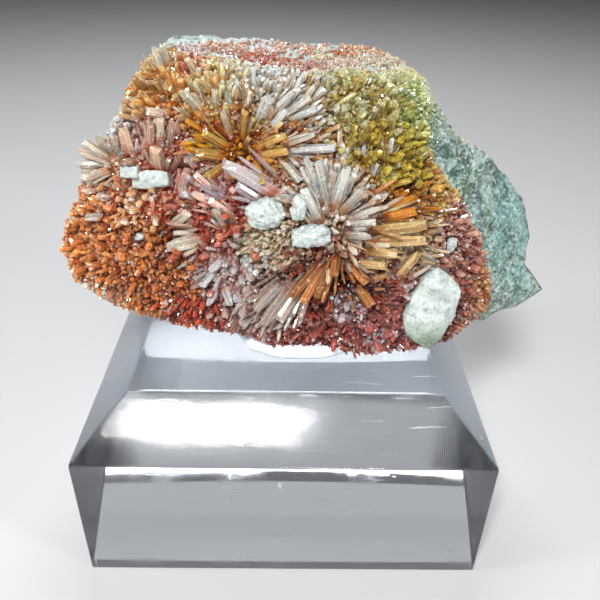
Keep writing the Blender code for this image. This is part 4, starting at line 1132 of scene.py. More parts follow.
# A crystal whose root is further off the ground than HANGING is moved until its root is ROOTED deep.
HANGING = 0.02
ROOTED = 0.12


class Seeds:
    """Where crystals start and how each one grows, gathered for one piece."""

    def __init__(self):
        self.rows = []

    def add(self, root, tip, width, thickness, spin, kind, tints):
        """Root and tip in millimetres; tints are a root colour, a tip colour and a clearness."""
        way = tip - root
        axis = way.normalized()
        across = axis.cross(FACE_OUT)
        if across.length < 0.2:
            across = axis.cross(FACE_RIGHT)
        across.normalize()
        turned = Matrix((across, axis.cross(across), axis)).transposed().to_quaternion()
        turned = turned @ Quaternion((0.0, 0.0, 1.0), spin)
        size = Vector((width, thickness, way.length)) * MM
        self.rows.append((root * MM, turned, size, kind, *tints, 100.0 * noise.cell(root * 97.0)))

    def settle(self, grounds):
        """Bring each crystal that would hang in the air down onto the crust or the rock."""
        for count, (root, *rest) in enumerate(self.rows):
            found = [ground.find_nearest(root) for ground in grounds]
            if any((root - place).dot(normal) < HANGING * MM for place, normal, _, _ in found):
                continue
            place, normal, _, _ = min(found, key=lambda near: near[3])
            self.rows[count] = (place - normal * ROOTED * MM, *rest)

    def mesh(self, name):
        """The seeds as loose points with their attributes."""
        made = bpy.data.meshes.new(name)
        made.from_pydata([row[0] for row in self.rows], [], [])
        columns = (
            ("turn", "QUATERNION", "value", [row[1] for row in self.rows]),
            ("size", "FLOAT_VECTOR", "vector", [row[2] for row in self.rows]),
            ("kind", "INT", "value", [row[3] for row in self.rows]),
            ("root_tint", "FLOAT_COLOR", "color", [row[4] for row in self.rows]),
            ("tip_tint", "FLOAT_COLOR", "color", [row[5] for row in self.rows]),
            ("clearness", "FLOAT", "value", [row[6] for row in self.rows]),
            ("own_number", "FLOAT", "value", [row[7] for row in self.rows]),
        )
        for label, kind, field, values in columns:
            layer = made.attributes.new(label, kind, "POINT")
            layer.data.foreach_set(field, np.array(values, np.int32 if kind == "INT" else np.float32).ravel())
        return made


def crystal_tree():
    """Geometry Nodes: a crystal of the right kind on every seed, turned, sized and made real."""
    tree = bpy.data.node_groups.new("Grow crystals", "GeometryNodeTree")
    for name, kind in (("Seeds", "Geometry"), ("Crystal kinds", "Collection"), ("Length scale", "Float"),
                       ("Width scale", "Float"), ("Unevenness", "Float"), ("Finish", "Material")):
        tree.interface.new_socket(name, in_out="INPUT", socket_type="NodeSocket" + kind)
    tree.interface.new_socket("Crystals", in_out="OUTPUT", socket_type="NodeSocketGeometry")
    given = add_node(tree, "NodeGroupInput").outputs
    turn, size, kind = (
        add_node(tree, "GeometryNodeInputNamedAttribute", {"Name": name}, data_type=data_type)
        for name, data_type in (("turn", "QUATERNION"), ("size", "FLOAT_VECTOR"), ("kind", "INT")))
    scales = add_node(tree, "ShaderNodeCombineXYZ",
                      {"X": given["Width scale"], "Y": given["Width scale"], "Z": given["Length scale"]})
    scaled = add_node(tree, "ShaderNodeVectorMath", {0: size, 1: scales}, operation="MULTIPLY")
    kinds = add_node(tree, "GeometryNodeCollectionInfo",
                     {"Collection": given["Crystal kinds"], "Separate Children": True,
                      "Reset Children": True})
    placed = add_node(tree, "GeometryNodeInstanceOnPoints",
                      {"Points": given["Seeds"], "Instance": kinds, "Pick Instance": True,
                       "Instance Index": kind, "Rotation": turn, "Scale": scaled})
    real = add_node(tree, "GeometryNodeRealizeInstances", {"Geometry": placed})
    place = add_node(tree, "GeometryNodeInputPosition")
    # Noise in cells of 2 mm moves the corners a little, so that no face is quite flat.
    wander = add_node(tree, "ShaderNodeTexNoise", {"Vector": place, "Scale": 0.5 / MM, "Detail": 1.0},
                      noise_dimensions="3D").outputs["Color"]
    centred = add_node(tree, "ShaderNodeVectorMath", {0: wander, 1: (0.5, 0.5, 0.5)}, operation="SUBTRACT")
    offset = add_node(tree, "ShaderNodeVectorMath", {0: centred, "Scale": given["Unevenness"]},
                      operation="SCALE")
    moved = add_node(tree, "GeometryNodeSetPosition", {"Geometry": real, "Offset": offset})
    coated = add_node(tree, "GeometryNodeSetMaterial", {"Geometry": moved, "Material": given["Finish"]})
    add_node(tree, "NodeGroupOutput", {"Crystals": coated})
    return tree


# Noise strays a quarter from its middle at most, so it's scaled up to reach the full unevenness.
NOISE_REACH = 4.0


def grow(name, seeds, tree, kinds, settings, finish):
    """Run the crystal tree on some seeds and keep the result as a plain mesh piece."""
    values = {
        "Crystal kinds": kinds, "Length scale": settings.length_scale, "Width scale": settings.width_scale,
        "Unevenness": settings.unevenness * NOISE_REACH, "Finish": finish,
    }

    def set_up(step):
        step.node_group = tree
        for item in tree.interface.items_tree:
            if item.item_type == "SOCKET" and item.in_out == "INPUT" and item.name in values:
                step[item.identifier] = values[item.name]

    mesh = changed(seeds.mesh(name + " seeds"), name, "NODES", set_up)
    for label in ("turn", "size", "kind"):
        if label in mesh.attributes:
            mesh.attributes.remove(mesh.attributes[label])
    show(name, mesh, replaced=("creedite_crystals",))


def solid_seat(u, v, width):
    """Height of a main crystal's root, as in the solids."""
    return max(crust_face(u, v) - ROOT_DEPTH, rock_face(u, v) + SEAT_LIFT + SEAT_PER_WIDTH * width)


# The white that some tips are mixed toward: a painted highlight, which looks like frost.
TIP_HIGHLIGHT_WHITE = (0.97, 0.94, 0.89, 1.0)


def varied(root, tip, clear, chance, tip_highlight_share=0.15):
    """A crystal's own colours, a little off its neighbours', and a share of tips mixed toward white, a painted
    highlight.
    """
    depth = 0.45 + 0.6 * chance.random()
    bright = 0.7 + 0.45 * chance.random()
    root = [min(part * depth, 1.0) for part in root[:3]] + [1.0]
    tip = [min(part * bright, 1.0) for part in tip[:3]] + [1.0]
    if chance.random() < tip_highlight_share:
        tip = mixed(tip, TIP_HIGHLIGHT_WHITE, 0.45)
    return root, tip, clear


def zone_tints(u, v, chance):
    """The zone at a place, with the colours and clearness of a crystal there."""
    stray_u, stray_v = (2.6 * (chance.random(2) - 0.5)).tolist()
    (near_distance, near), (far_distance, far) = near_zones(u + stray_u, v + stray_v)
    share = 0.5 * min(near_distance / max(far_distance, 1e-6), 1.0) ** 2
    root = mixed(linear(near.root), linear(far.root), share)
    tip = mixed(linear(near.tip), linear(far.tip), share)
    stain = face_noise(u, v, 0.8, 71.0) + 0.6 * face_noise(u, v, 1.9, 13.0)
    tip = mixed(tip, root, clamped(1.6 * stain, 0.75))
    # Painted highlight: the share of tips that are mixed toward white.
    tip_highlight_share = 0.04 + 0.3 * max(face_noise(u, v, 0.7, 91.0), 0.0)
    clearness = near.clearness + (far.clearness - near.clearness) * share
    return near, varied(root, tip, clearness, chance, tip_highlight_share)


# How many slim crystals stand beside each big one.
COMPANIONS = 5


def main_seeds(seeds, chance):
    """The big crystals, each with a few slimmer companions that grow beside it."""
    for root_colour, tip_colour, clear, crystals in MAIN_CRYSTALS.values():
        root_colour, tip_colour = linear(root_colour), linear(tip_colour)
        for count, ((root_u, root_v), (tip_u, tip_v), lift, width) in enumerate(crystals):
            root_w = solid_seat(root_u, root_v, width)
            root = world_point(root_u, root_v, root_w)
            tip = world_point(tip_u, tip_v, max(root_w, solid_seat(tip_u, tip_v, width)) + lift)
            spin = 0.35 * math.sin(count * 2.3)
            way = (tip - root).normalized()
            seeds.add(root - 0.3 * way, tip, width, width * 0.72, spin, count % 2,
                      varied(root_colour, tip_colour, clear, chance))
            for companion in range(COMPANIONS):
                side = way.cross(FACE_OUT).normalized() * (0.6 * width * (companion - COMPANIONS // 2))
                spread = side + FACE_OUT * (-0.45 + 0.5 * chance.random()) * width
                start = root + 0.55 * spread - way * 0.5
                end = root + (tip - root) * (0.5 + 0.4 * chance.random()) + 1.3 * spread
                slim = width * (0.3 + 0.3 * chance.random())
                honey = mixed(tip_colour, root_colour, 0.5 * chance.random() ** 2)
                seeds.add(start, end, slim, slim * 0.75, chance.random() * 3.0, 2 + companion % 2,
                          varied(root_colour, honey, clear, chance))


def region_seeds(seeds, chance):
    """The solids' smaller crystals."""
    for centre, half_width, half_height, focus, depth, number, length, width in REGIONS.values():
        source = world_point(focus[0], focus[1], rock_face(*focus) - depth)
        for count in range(number):
            turn = count * GOLDEN_ANGLE
            spread = math.sqrt((count + 0.5) / number)
            u = centre[0] + half_width * spread * math.cos(turn)
            v = centre[1] + half_height * spread * math.sin(turn)
            change = math.sin(count * 1.7 + centre[0])
            own = width * (0.8 + 0.35 * (0.5 - 0.5 * change))
            root = world_point(u, v, solid_seat(u, v, own))
            reach = length * (0.75 + 0.5 * (0.5 + 0.5 * change))
            while reach > 0.8 and overhang(root + (root - source).normalized() * reach) > 0.0:
                reach *= 0.8
            tip = root + (root - source).normalized() * reach
            if not clear_of_lumps(root, tip):
                continue
            _, tints = zone_tints(u, v, chance)
            seeds.add(root, tip, own * 0.8, own * 0.6, count * 1.1, count % 4, tints)


def tree_of(nodes):
    """One search tree over some CAD nodes' surfaces."""
    corners = []
    triangles = []
    for name in nodes:
        node = frame["nodes"][name]
        first = len(corners)
        corners += [node.matrix_world @ vertex.co for vertex in node.data.vertices]
        triangles += [tuple(first + index for index in polygon.vertices) for polygon in node.data.polygons]
    return BVHTree.FromPolygons(corners, triangles)


# The white lumps' surfaces, and how far the crystals keep off them.
LUMP_SURFACES = tree_of(WHITE_LUMPS)
LUMP_ROOM = 0.25 * MM


def clear_of_lumps(root, tip):
    """Whether a crystal misses the white lumps."""
    for share in (0.0, 0.35, 0.7, 1.0):
        spot = (root + share * (tip - root)) * MM
        place, normal, _, distance = LUMP_SURFACES.find_nearest(spot)
        if distance < LUMP_ROOM or (spot - place).dot(normal) < 0.0:
            return False
    return True


# How far past its own half width a big crystal is kept clear, from which share of its length on, and how far
# behind its middle something may end.
SHADOW_ROOM = 0.12
SHADOW_START = 0.25
SHADOW_DEPTH = 0.2


class Shadows:
    """The big crystals' axes on the face, so that fine ones don't hide them."""

    def __init__(self, seeds):
        roots = [row[0] / MM for row in seeds.rows]
        tips = [root + row[1] @ Vector((0.0, 0.0, row[2].z / MM)) for root, row in zip(roots, seeds.rows)]
        self.starts = np.array([face_coordinates(root) for root in roots])
        self.ways = np.array([face_coordinates(tip) for tip in tips]) - self.starts
        self.reaches = np.array([0.5 * row[2].x / MM + SHADOW_ROOM for row in seeds.rows])
        self.lengths = np.maximum((self.ways[:, :2] ** 2).sum(1), 1e-6)

    def hidden_by(self, point):
        """Whether something at this place would stand in front of a big crystal."""
        place = np.array(face_coordinates(point))
        offset = place - self.starts
        share = np.clip((offset[:, :2] * self.ways[:, :2]).sum(1) / self.lengths, SHADOW_START, 1.0)
        nearest = self.starts + self.ways * share[:, None]
        beside = np.hypot(nearest[:, 0] - place[0], nearest[:, 1] - place[1])
        return bool(((beside < self.reaches) & (place[2] > nearest[:, 2] - SHADOW_DEPTH)).any())


def overhang(point):
    """How far a point of the specimen stands out past the crust's edge."""
    return past_outline(*face_coordinates(point)[:2])


# Crystals stand in rows ROW_STEP of a spacing apart, up to CRUST_REACH from the middle, and stay RIM_MARGIN
# inside the crust's edge.
CRUST_REACH = 33.0
ROW_STEP = 0.866
RIM_MARGIN = 0.4


def spread_places(spacing, chance):
    """Uneven places all over the crust, about a spacing apart."""
    rows = int(CRUST_REACH / spacing)
    for row in range(-rows, rows + 1):
        for column in range(-rows, rows + 1):
            shift_u, shift_v = (0.8 * (chance.random(2) - 0.5)).tolist()
            u = FACE_MIDDLE[0] + (column + 0.5 * (row % 2) + shift_u) * spacing
            v = FACE_MIDDLE[1] + (row * ROW_STEP + shift_v) * spacing
            if past_outline(u, v) < -RIM_MARGIN:
                yield u, v


# Where the middle piece begins and ends along u, how deep fine crystals and grains are rooted, and the least
# lengths that are kept.
PIECE_BORDERS = (-9.0, 7.5)
FINE_ROOT = 0.35
SUGAR_ROOT = 0.3
LEAST_CRYSTAL = 0.3
LEAST_GRAIN = 0.2


def fine_seeds(groups, shadows, spacing, chance):
    """Fine crystals over the whole crust, in leaning bunches, shared out between the pieces by side."""
    for u, v in spread_places(spacing, chance):
        draws = chance.random(9)
        zone, tints = zone_tints(u, v, chance)
        if draws[7] > (1.5 * spacing / zone.width) ** 2:
            continue
        source = world_point(*zone.focus, rock_face(*zone.focus) - zone.depth)
        root = world_point(u, v, crust_face(u, v) - FINE_ROOT)
        bunch = noise.noise_vector(Vector((u * 0.5, v * 0.5, 11.0)))
        way = (root - source).normalized()
        way += zone.wildness * (0.8 * bunch + 0.75 * scatter(draws))
        way.normalize()
        if way.dot(FACE_OUT) < 0.1:
            way = (way + (0.25 - way.dot(FACE_OUT)) * FACE_OUT).normalized()
        length = zone.length * (0.4 + 0.9 * draws[3] ** 1.5)
        own = zone.width * (0.55 + 0.7 * draws[4])
        kind = 2 + int(3 * draws[5])
        if draws[6] < zone.grains:
            length = 1.3 * own
            kind = GRAIN
        while length > 0.5 and overhang(root + way * length) > -0.1:
            length *= 0.8
        root = lifted(root)
        tip = lifted(root + way * length)
        if not clear_of_lumps(root, tip) or (tip - root).length < LEAST_CRYSTAL:
            continue
        if shadows.hidden_by(tip) or shadows.hidden_by(root.lerp(tip, 0.5)):
            continue
        lying = 0.45 * (1.0 - abs(way.dot(FACE_OUT)))
        tints = (mixed(tints[0], tints[1], lying), *tints[1:])
        piece = sum(u >= border for border in PIECE_BORDERS)
        groups[piece].add(root, tip, own, own * (0.6 + 0.3 * draws[2]), 6.0 * draws[0], kind, tints)


def sugar_seeds(seeds, spacing, chance):
    """A sugar of tiny dark grains on the crust between the crystals."""
    for u, v in spread_places(spacing, chance):
        draws = chance.random(5)
        _, (root_tint, tip_tint, clear) = zone_tints(u, v, chance)
        root_tint = [0.6 * part for part in root_tint[:3]] + [1.0]
        root = world_point(u, v, crust_face(u, v) - SUGAR_ROOT)
        way = (FACE_OUT + 1.4 * scatter(draws)).normalized()
        own = spacing * (0.6 + 0.5 * draws[3])
        root = lifted(root)
        tip = lifted(root + way * (0.35 + 0.4 * draws[4]))
        if clear_of_lumps(root, tip) and (tip - root).length > LEAST_GRAIN:
            seeds.add(root, tip, own, own * 0.85, 6.0 * draws[0], GRAIN,
                      (root_tint, mixed(root_tint, tip_tint, 0.35), 0.5 * clear))


def surface_of(name):
    """A search tree over a finished piece."""
    mesh = bpy.data.objects[name].data
    return BVHTree.FromPolygons([vertex.co for vertex in mesh.vertices],
                                [polygon.vertices for polygon in mesh.polygons])


def rim_seeds(seeds, chance):
    """Small grains that grow on the bare rock along its top."""
    surface = surface_of("host_rock")
    for (middle_u, middle_v), (half_u, half_v), number, dark, light in RIM_DRUSE.values():
        for _ in range(number):
            turn, spread, *draws = chance.random(8)
            u = middle_u + half_u * math.sqrt(spread) * math.cos(2.0 * math.pi * turn)
            v = middle_v + half_v * math.sqrt(spread) * math.sin(2.0 * math.pi * turn)
            start = world_point(u, v, 10.0)
            place, normal, _, _ = surface.ray_cast(start * MM, -FACE_OUT)
            if place is None:
                continue
            way = (normal + 1.2 * scatter(draws)).normalized()
            root = place / MM - 0.2 * way
            tip = root + way * (0.35 + 0.3 * draws[3])
            own = 0.28 + 0.27 * draws[5]
            seeds.add(root, tip, own, own * 0.8, 6.0 * turn, GRAIN,
                      varied(mixed(linear(dark), linear(light), 0.4 * draws[4]), linear(light), 0.3, chance))


def edge_seeds(seeds, number, chance):
    """Small crystals on the crust's side wall, where it meets the rock."""
    wall = bpy.data.objects["creedite_crust"].data
    places = []
    for vertex in wall.vertices:
        point = vertex.co / MM
        if overhang(point) > -0.9 and -0.75 < vertex.normal.dot(FACE_OUT) < 0.8:
            places.append((point, vertex.normal.copy()))
    for _ in range(number):
        draws = chance.random(8).tolist()
        point, normal = places[int(draws[0] * len(places))]
        u, v, _ = face_coordinates(point)
        zone, tints = zone_tints(u, v, chance)
        way = (normal + 1.1 * scatter(draws[1:])).normalized()
        root = point - 0.25 * way
        tip = root + way * (0.45 + 0.75 * draws[4])
        own = zone.width * (0.5 + 0.5 * draws[5])
        if clear_of_lumps(root, tip):
            seeds.add(root, tip, own, 0.8 * own, 6.0 * draws[6], GRAIN if draws[7] < 0.5 else 3, tints)


def crust_body():
    """The crust's closed body before its grain: rings from the middle to the rim, and a back."""
    sides = 160
    steps = 34
    work = bmesh.new()
    radii = [outline_radius(2.0 * math.pi * side / sides) for side in range(sides)]

    def ring(share, height_of):
        made = []
        for side, radius in enumerate(radii):
            angle = 2.0 * math.pi * side / sides
            u = FACE_MIDDLE[0] + share * radius * math.cos(angle)
            v = FACE_MIDDLE[1] + share * radius * math.sin(angle)
            made.append(work.verts.new(lifted(world_point(u, v, height_of(u, v))) * MM))
        return made

    rings = [ring(step / steps, lambda u, v: crust_face(u, v) - CRUST_SINK) for step in range(1, steps)]
    rings.append(ring(1.0, lambda u, v: 0.5 * (crust_face(u, v) + rock_face(u, v))))
    rings += [ring(share, lambda u, v: rock_face(u, v) + CRUST_BACK) for share in (0.95, 0.75, 0.5, 0.25)]
    front = work.verts.new(world_point(*FACE_MIDDLE, crust_face(*FACE_MIDDLE) - CRUST_SINK) * MM)
    back = work.verts.new(world_point(*FACE_MIDDLE, rock_face(*FACE_MIDDLE) + CRUST_BACK) * MM)
    for side in range(sides):
        following = (side + 1) % sides
        work.faces.new((front, rings[0][side], rings[0][following]))
        work.faces.new((back, rings[-1][following], rings[-1][side]))
        for inner, outer in zip(rings, rings[1:]):
            work.faces.new((inner[side], outer[side], outer[following], inner[following]))
    bmesh.ops.recalc_face_normals(work, faces=work.faces[:])
    return work


# The front's patches start this far behind the face, and take this far to come in full.
PATCHES_FROM = -17.0
PATCHES_OVER = 5.0


def rock_tint(point):
    """Rock colours by place: grey-green with the front's patches, rusty blotches towards the back."""
    u, v, w = face_coordinates(point)
    broad = noise.noise(point * 0.3) + 0.5 * noise.noise(point * 0.9)
    colour = mixed(linear("#4C625C"), linear("#7C9690"), clamped(0.5 + 0.9 * broad))
    front = clamped((w - PATCHES_FROM) / PATCHES_OVER)
    for (middle_u, middle_v), (half_u, half_v), tint, strength in ROCK_PATCHES.values():
        distance = math.hypot((u - middle_u) / half_u, (v - middle_v) / half_v)
        edge = 1.0 - distance + 0.9 * noise.noise(point * 0.8 + Vector((middle_u, 0.0, 0.0)))
        colour = mixed(colour, linear(tint), front * strength * clamped(2.0 * edge))
    rust = clamped((noise.noise(point * 0.13 + Vector((9.0, 2.0, 4.0))) - 0.12) * 3.0)
    return mixed(colour, linear("#B08A5C"), 0.5 * rust * (1.0 - 0.8 * front))


def fibres(point):
    """Ridges that fan out over the white lumps from below their middle."""
    u, v, _ = face_coordinates(point)
    angle = math.atan2(v - FAN_MIDDLE[1], u - FAN_MIDDLE[0])
    away = math.dist((u, v), FAN_MIDDLE)
    return noise.noise(Vector((FAN_FINENESS * angle, 0.4 * away, 7.0)))


def lump_tint(point):
    """Chalk white with greyer fibres and blotches, and grey-green at the large lump's foot."""
    u, v, _ = face_coordinates(point)
    tone = 1.0 + 0.35 * fibres(point) + 0.25 * noise.noise(point * 1.3) + 0.2 * noise.noise(point * 3.1)
    foot = clamped((LUMP_FOOT - v) / 3.0) if u > LUMP_SIDE else 0.0
    shade = mixed((1.0, 1.0, 1.0), linear("#B4C0AC"), foot)
    return [tone * part for part in shade[:3]] + [1.0]


def crust_tint(point):
    """The dark of the roots that grow at a place."""
    u, v, _ = face_coordinates(point)
    (near_distance, near), (far_distance, far) = near_zones(u, v)
    share = 0.5 * min(near_distance / max(far_distance, 1e-6), 1.0) ** 3
    root = mixed(linear(near.root), linear(far.root), share)
    return [0.35 * part for part in root[:3]] + [1.0]


class CREEDITE_OT_stage(bpy.types.Operator):
    """Lay the floor and set the soft boxes and the camera"""
    bl_idname = "creedite.stage"
    bl_label = "Stage"

    def execute(self, context):
        settings = context.scene.creedite_stage
        floor_mesh = bpy.data.meshes.new("studio_floor")
        corners = [(x * FLOOR_HALF, y * FLOOR_HALF, -FLOOR_DROP)
                   for x, y in ((-1, -1), (1, -1), (1, 1), (-1, 1))]
        floor_mesh.from_pydata(corners, [], [(0, 1, 2, 3)])
        floor = bpy.data.objects.new("studio_floor", floor_mesh)
        context.collection.objects.link(floor)
        paper, tree = new_material("studio paper")
        shader = add_node(tree, "ShaderNodeBsdfPrincipled",
                          {"Base Color": (*settings.floor_colour, 1.0), "Roughness": 0.6})
        add_node(tree, "ShaderNodeOutputMaterial", {"Surface": shader})
        floor_mesh.materials.append(paper)
        floor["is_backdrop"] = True
        for name, (place, size, share) in SOFT_BOXES.items():
            self.light(name, Vector(place), size, share * settings.key_power)
        world = bpy.data.worlds.new("studio")
        context.scene.world = world
        world.use_nodes = True
        glow = world.node_tree.nodes["Background"].inputs
        glow["Color"].default_value = STUDIO_TINT
        glow["Strength"].default_value = STUDIO_GLOW
        context.scene.view_settings.view_transform = "Standard"
        self.camera(context)
        return {"FINISHED"}

    def light(self, name, place, size, power):
        lamp = bpy.data.lights.new(name, "AREA")
        lamp.size = size
        lamp.energy = power
        made = bpy.data.objects.new(name, lamp)
        made.location = place
        made.rotation_euler = (LIGHTS_AIM - place).to_track_quat("-Z", "Y").to_euler()
        bpy.context.collection.objects.link(made)

    def camera(self, context):
        level = math.cos(CAMERA_DOWN)
        forward = Vector((math.sin(CAMERA_TURN) * level, math.cos(CAMERA_TURN) * level,
                          -math.sin(CAMERA_DOWN)))
        right = Vector((math.cos(CAMERA_TURN), -math.sin(CAMERA_TURN), 0.0))
        down = forward.cross(right)
        across = math.cos(CAMERA_ROLL) * right + math.sin(CAMERA_ROLL) * down
        below = math.cos(CAMERA_ROLL) * down - math.sin(CAMERA_ROLL) * right
        lens = bpy.data.cameras.new("camera")
        lens.lens = CAMERA_LENS
        lens.sensor_width = SENSOR_WIDTH
        lens.clip_start = CLIP_START
        made = bpy.data.objects.new("camera", lens)
        context.collection.objects.link(made)
        placed = Matrix((across, -below, -forward)).transposed().to_4x4()
        placed.translation = CAMERA_PLACE * MM
        made.matrix_world = placed
        context.scene.camera = made


class CREEDITE_OT_rock(bpy.types.Operator):
    """Break and stain the host rock"""
    bl_idname = "creedite.rock"
    bl_label = "Host rock"

    def execute(self, context):
        settings = context.scene.creedite_rock
        mesh = refined(node_copy("matrix_rock"), settings.fineness, "host_rock")
        chip = settings.ledge / MM
        solid = tree_of(("matrix_rock",))

        def shift(point, normal):
            u, v, w = face_coordinates(point)
            crest = float(np.interp(u, *zip(*CREST)))
            crest *= clamped((v - CREST_FOOT) / CREST_SOFTNESS) * clamped((w - CREST_BACK) / CREST_DEPTH)
            through = solid.ray_cast((point - 0.05 * normal) * MM, -normal)[3]
            thickness = min((through or 0.0) / MM / THIN_ROCK, 1.0)
            rise = chip * facets(point, LARGE_CHIP, seed=3.0)
            rise += 0.4 * chip * facets(point, SMALL_CHIP, seed=8.0)
            rise += 0.3 * chip * noise.noise(point * 1.1) + 0.2 * chip * noise.noise(point * 2.7)
            outer = clamped((u - SPREAD_FROM) / SPREAD_OVER)
            spread = SPREAD_OUT * FACE_RIGHT + float(np.interp(v, *zip(*SPREAD_UP))) * FACE_UP
            return normal * rise * thickness + crest * FACE_UP + outer * spread

        push(mesh, shift)
        paint(mesh, "tint", rock_tint)
        # Painted highlight on the rock's edges and painted shade in its creases.
        light_edges_shade_creases(mesh, "tint", linear("#E0DCB4"), linear("#4C6060"))
        mesh.shade_smooth()
        mesh.materials.append(rock_material())
        show("host_rock", mesh, replaced=("matrix_rock",))
        return {"FINISHED"}


class CREEDITE_OT_crust(bpy.types.Operator):
    """Lay the iron-stained crust that the crystals stand in"""
    bl_idname = "creedite.crust"
    bl_label = "Crust"

    def execute(self, context):
        mesh = remeshed(crust_body(), CRUST_CELL, "creedite_crust")

        def shift(point, normal):
            return normal * (0.32 * noise.noise(point * 0.9) + 0.2 * facets(point, 1.3, seed=5.0))

        push(mesh, shift)
        paint(mesh, "tint", crust_tint)
        mesh.materials.append(crust_material())
        show("creedite_crust", mesh, replaced=("creedite_crystals",))
        return {"FINISHED"}


class CREEDITE_OT_crystals(bpy.types.Operator):
    """Grow the crystals"""
    bl_idname = "creedite.crystals"
    bl_label = "Crystals"

    def execute(self, context):
        settings = context.scene.creedite_crystals
        chance = np.random.default_rng(CHANCE_SEED)
        finish = creedite_material()
        tree = crystal_tree()
        kinds = crystal_templates()
        grounds = (surface_of("creedite_crust"), surface_of("host_rock"))
        big = Seeds()
        main_seeds(big, chance)
        region_seeds(big, chance)
        big.settle(grounds)
        grow("main_crystals", big, tree, kinds, settings, finish)
        groups = (Seeds(), Seeds(), Seeds())
        fine_seeds(groups, Shadows(big), settings.spacing / MM, chance)
        for name, seeds in zip(("druse_left", "druse_middle", "druse_right"), groups):
            seeds.settle(grounds)
            grow(name, seeds, tree, kinds, settings, finish)
        sugar = Seeds()
        sugar_seeds(sugar, settings.grain_spacing / MM, chance)
        rim_seeds(sugar, chance)
        edge_seeds(sugar, EDGE_CRYSTALS, chance)
        sugar.settle(grounds)
        grow("sugar_grains", sugar, tree, kinds, settings, finish)
        for kind in list(kinds.objects):
            bpy.data.objects.remove(kind, do_unlink=True)
        bpy.data.collections.remove(kinds)
        return {"FINISHED"}


class CREEDITE_OT_white_lumps(bpy.types.Operator):
    """Rough up the white lumps"""
    bl_idname = "creedite.white_lumps"
    bl_label = "White lumps"

    def execute(self, context):
        finish = white_material()
        for node in WHITE_LUMPS:
            low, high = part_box(node)
            size = max(high[axis] - low[axis] for axis in range(3)) / MM
            rough = node_copy(node)
            calm = 1.0
            if node in LUMP_TURNS:
                square_up(rough, LUMP_TURNS[node])
                calm = SQUARE_CALM
            if node in LOBES:
                middle, sides = LOBES[node]
                seat = Matrix((FACE_RIGHT, FACE_UP, FACE_OUT)).transposed().to_4x4()
                seat.translation = world_point(*middle) * MM
                scale = Matrix.Diagonal((*(side * MM for side in sides), 1.0))
                bmesh.ops.create_cube(rough, size=1.0, matrix=seat @ scale)
            mesh = remeshed(rough, LUMP_CELL if size > GRAIN_SIZE else GRAIN_CELL, node + "_chalky")

            def shift(point, normal):
                rise = 0.05 * size * facets(point, 0.35 * size, seed=2.0) + 0.22 * fibres(point)
                rise += 0.1 * noise.noise(point * 2.1) + 0.1 * noise.noise(point * 5.3)
                return normal * rise * calm

            push(mesh, shift)
            paint(mesh, "tint", lump_tint)
            mesh.shade_smooth()
            mesh.materials.append(finish)
            show(node + "_chalky", mesh, replaced=(node,))
        return {"FINISHED"}


class CREEDITE_OT_acrylic_base(bpy.types.Operator):
    """Polish the acrylic block"""
    bl_idname = "creedite.acrylic_base"
    bl_label = "Acrylic block"

    def execute(self, context):
        work = bmesh.new()
        side_half = 0.5 * BLOCK_WIDTH
        shoulder = BLOCK_HEIGHT - BLOCK_BEVEL
        rings = []
        levels = ((side_half, 0.0), (side_half, shoulder), (side_half - BLOCK_BEVEL, BLOCK_HEIGHT))
        for half, height in levels:
            corners = ((-half, -half), (half, -half), (half, half), (-half, half))
            rings.append([work.verts.new(Vector((x, y, height)) * MM) for x, y in corners])
        for lower, upper in zip(rings, rings[1:]):
            for side in range(4):
                following = (side + 1) % 4
                work.faces.new((lower[side], lower[following], upper[following], upper[side]))
        work.faces.new(rings[0][::-1])
        work.faces.new(rings[-1])
        bmesh.ops.bevel(work, geom=work.edges[:], offset=BLOCK_EDGE * MM, segments=3, profile=0.5,
                        affect="EDGES")
        mesh = mesh_of(work, "acrylic_block")
        mesh.shade_smooth()
        mesh.set_sharp_from_angle(angle=math.radians(20.0))
        mesh.materials.append(acrylic_material())
        show("acrylic_block", mesh, replaced=("acrylic_base",))
        return {"FINISHED"}


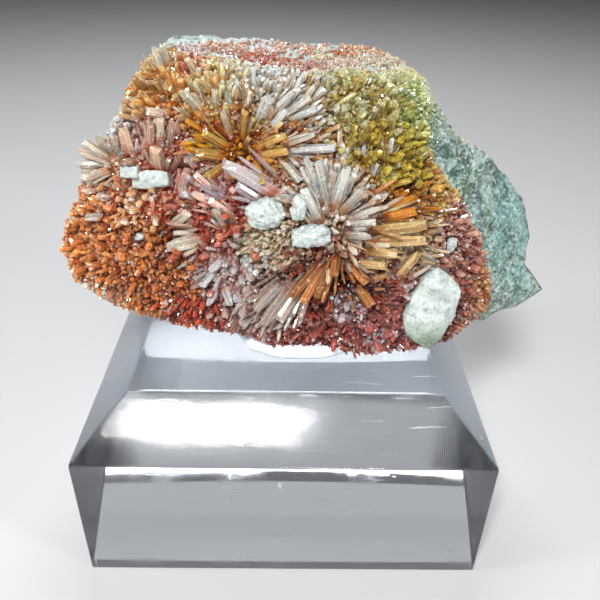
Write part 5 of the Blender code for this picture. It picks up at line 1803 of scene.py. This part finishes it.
class CREEDITE_OT_putty(bpy.types.Operator):
    """Press the putty"""
    bl_idname = "creedite.putty"
    bl_label = "Putty"

    def execute(self, context):
        mesh = remeshed(node_copy("mounting_putty"), PUTTY_CELL, "pressed_putty")

        def shift(point, normal):
            dents = 0.5 * noise.noise(point * 0.35) + 0.18 * noise.noise(point * 1.2)
            return normal * (1.0 - abs(normal.z)) * dents

        push(mesh, shift)
        mesh.shade_smooth()
        mesh.materials.append(putty_material())
        show("pressed_putty", mesh, replaced=("mounting_putty",))
        return {"FINISHED"}


OPERATORS = (CREEDITE_OT_stage, CREEDITE_OT_rock, CREEDITE_OT_crust, CREEDITE_OT_crystals,
             CREEDITE_OT_white_lumps, CREEDITE_OT_acrylic_base, CREEDITE_OT_putty)


class CREEDITE_PT_panel(bpy.types.Panel):
    """The specimen's pieces and their settings"""
    bl_idname = "CREEDITE_PT_panel"
    bl_label = "Creedite cluster"
    bl_space_type = "VIEW_3D"
    bl_region_type = "UI"
    bl_category = "Creedite"

    def draw(self, context):
        for step in OPERATORS:
            self.layout.operator(step.bl_idname)
        scene = context.scene
        for group in (scene.creedite_stage, scene.creedite_rock, scene.creedite_crystals):
            for name in group.__annotations__:
                self.layout.prop(group, name)


CLASSES = (StageSettings, RockSettings, CrystalSettings, *OPERATORS, CREEDITE_PT_panel)


def register():
    for each in CLASSES:
        bpy.utils.register_class(each)
    bpy.types.Scene.creedite_stage = bpy.props.PointerProperty(type=StageSettings)
    bpy.types.Scene.creedite_rock = bpy.props.PointerProperty(type=RockSettings)
    bpy.types.Scene.creedite_crystals = bpy.props.PointerProperty(type=CrystalSettings)


def unregister():
    del bpy.types.Scene.creedite_stage
    del bpy.types.Scene.creedite_rock
    del bpy.types.Scene.creedite_crystals
    for each in reversed(CLASSES):
        bpy.utils.unregister_class(each)


def main():
    register()
    bpy.ops.creedite.stage()
    bpy.ops.creedite.rock()
    bpy.ops.creedite.crust()
    bpy.ops.creedite.crystals()
    bpy.ops.creedite.white_lumps()
    bpy.ops.creedite.acrylic_base()
    bpy.ops.creedite.putty()
    boxes = [[list(corner) for corner in box] for box in (CAD_BOX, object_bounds())]


if __name__ == "__main__":
    main()
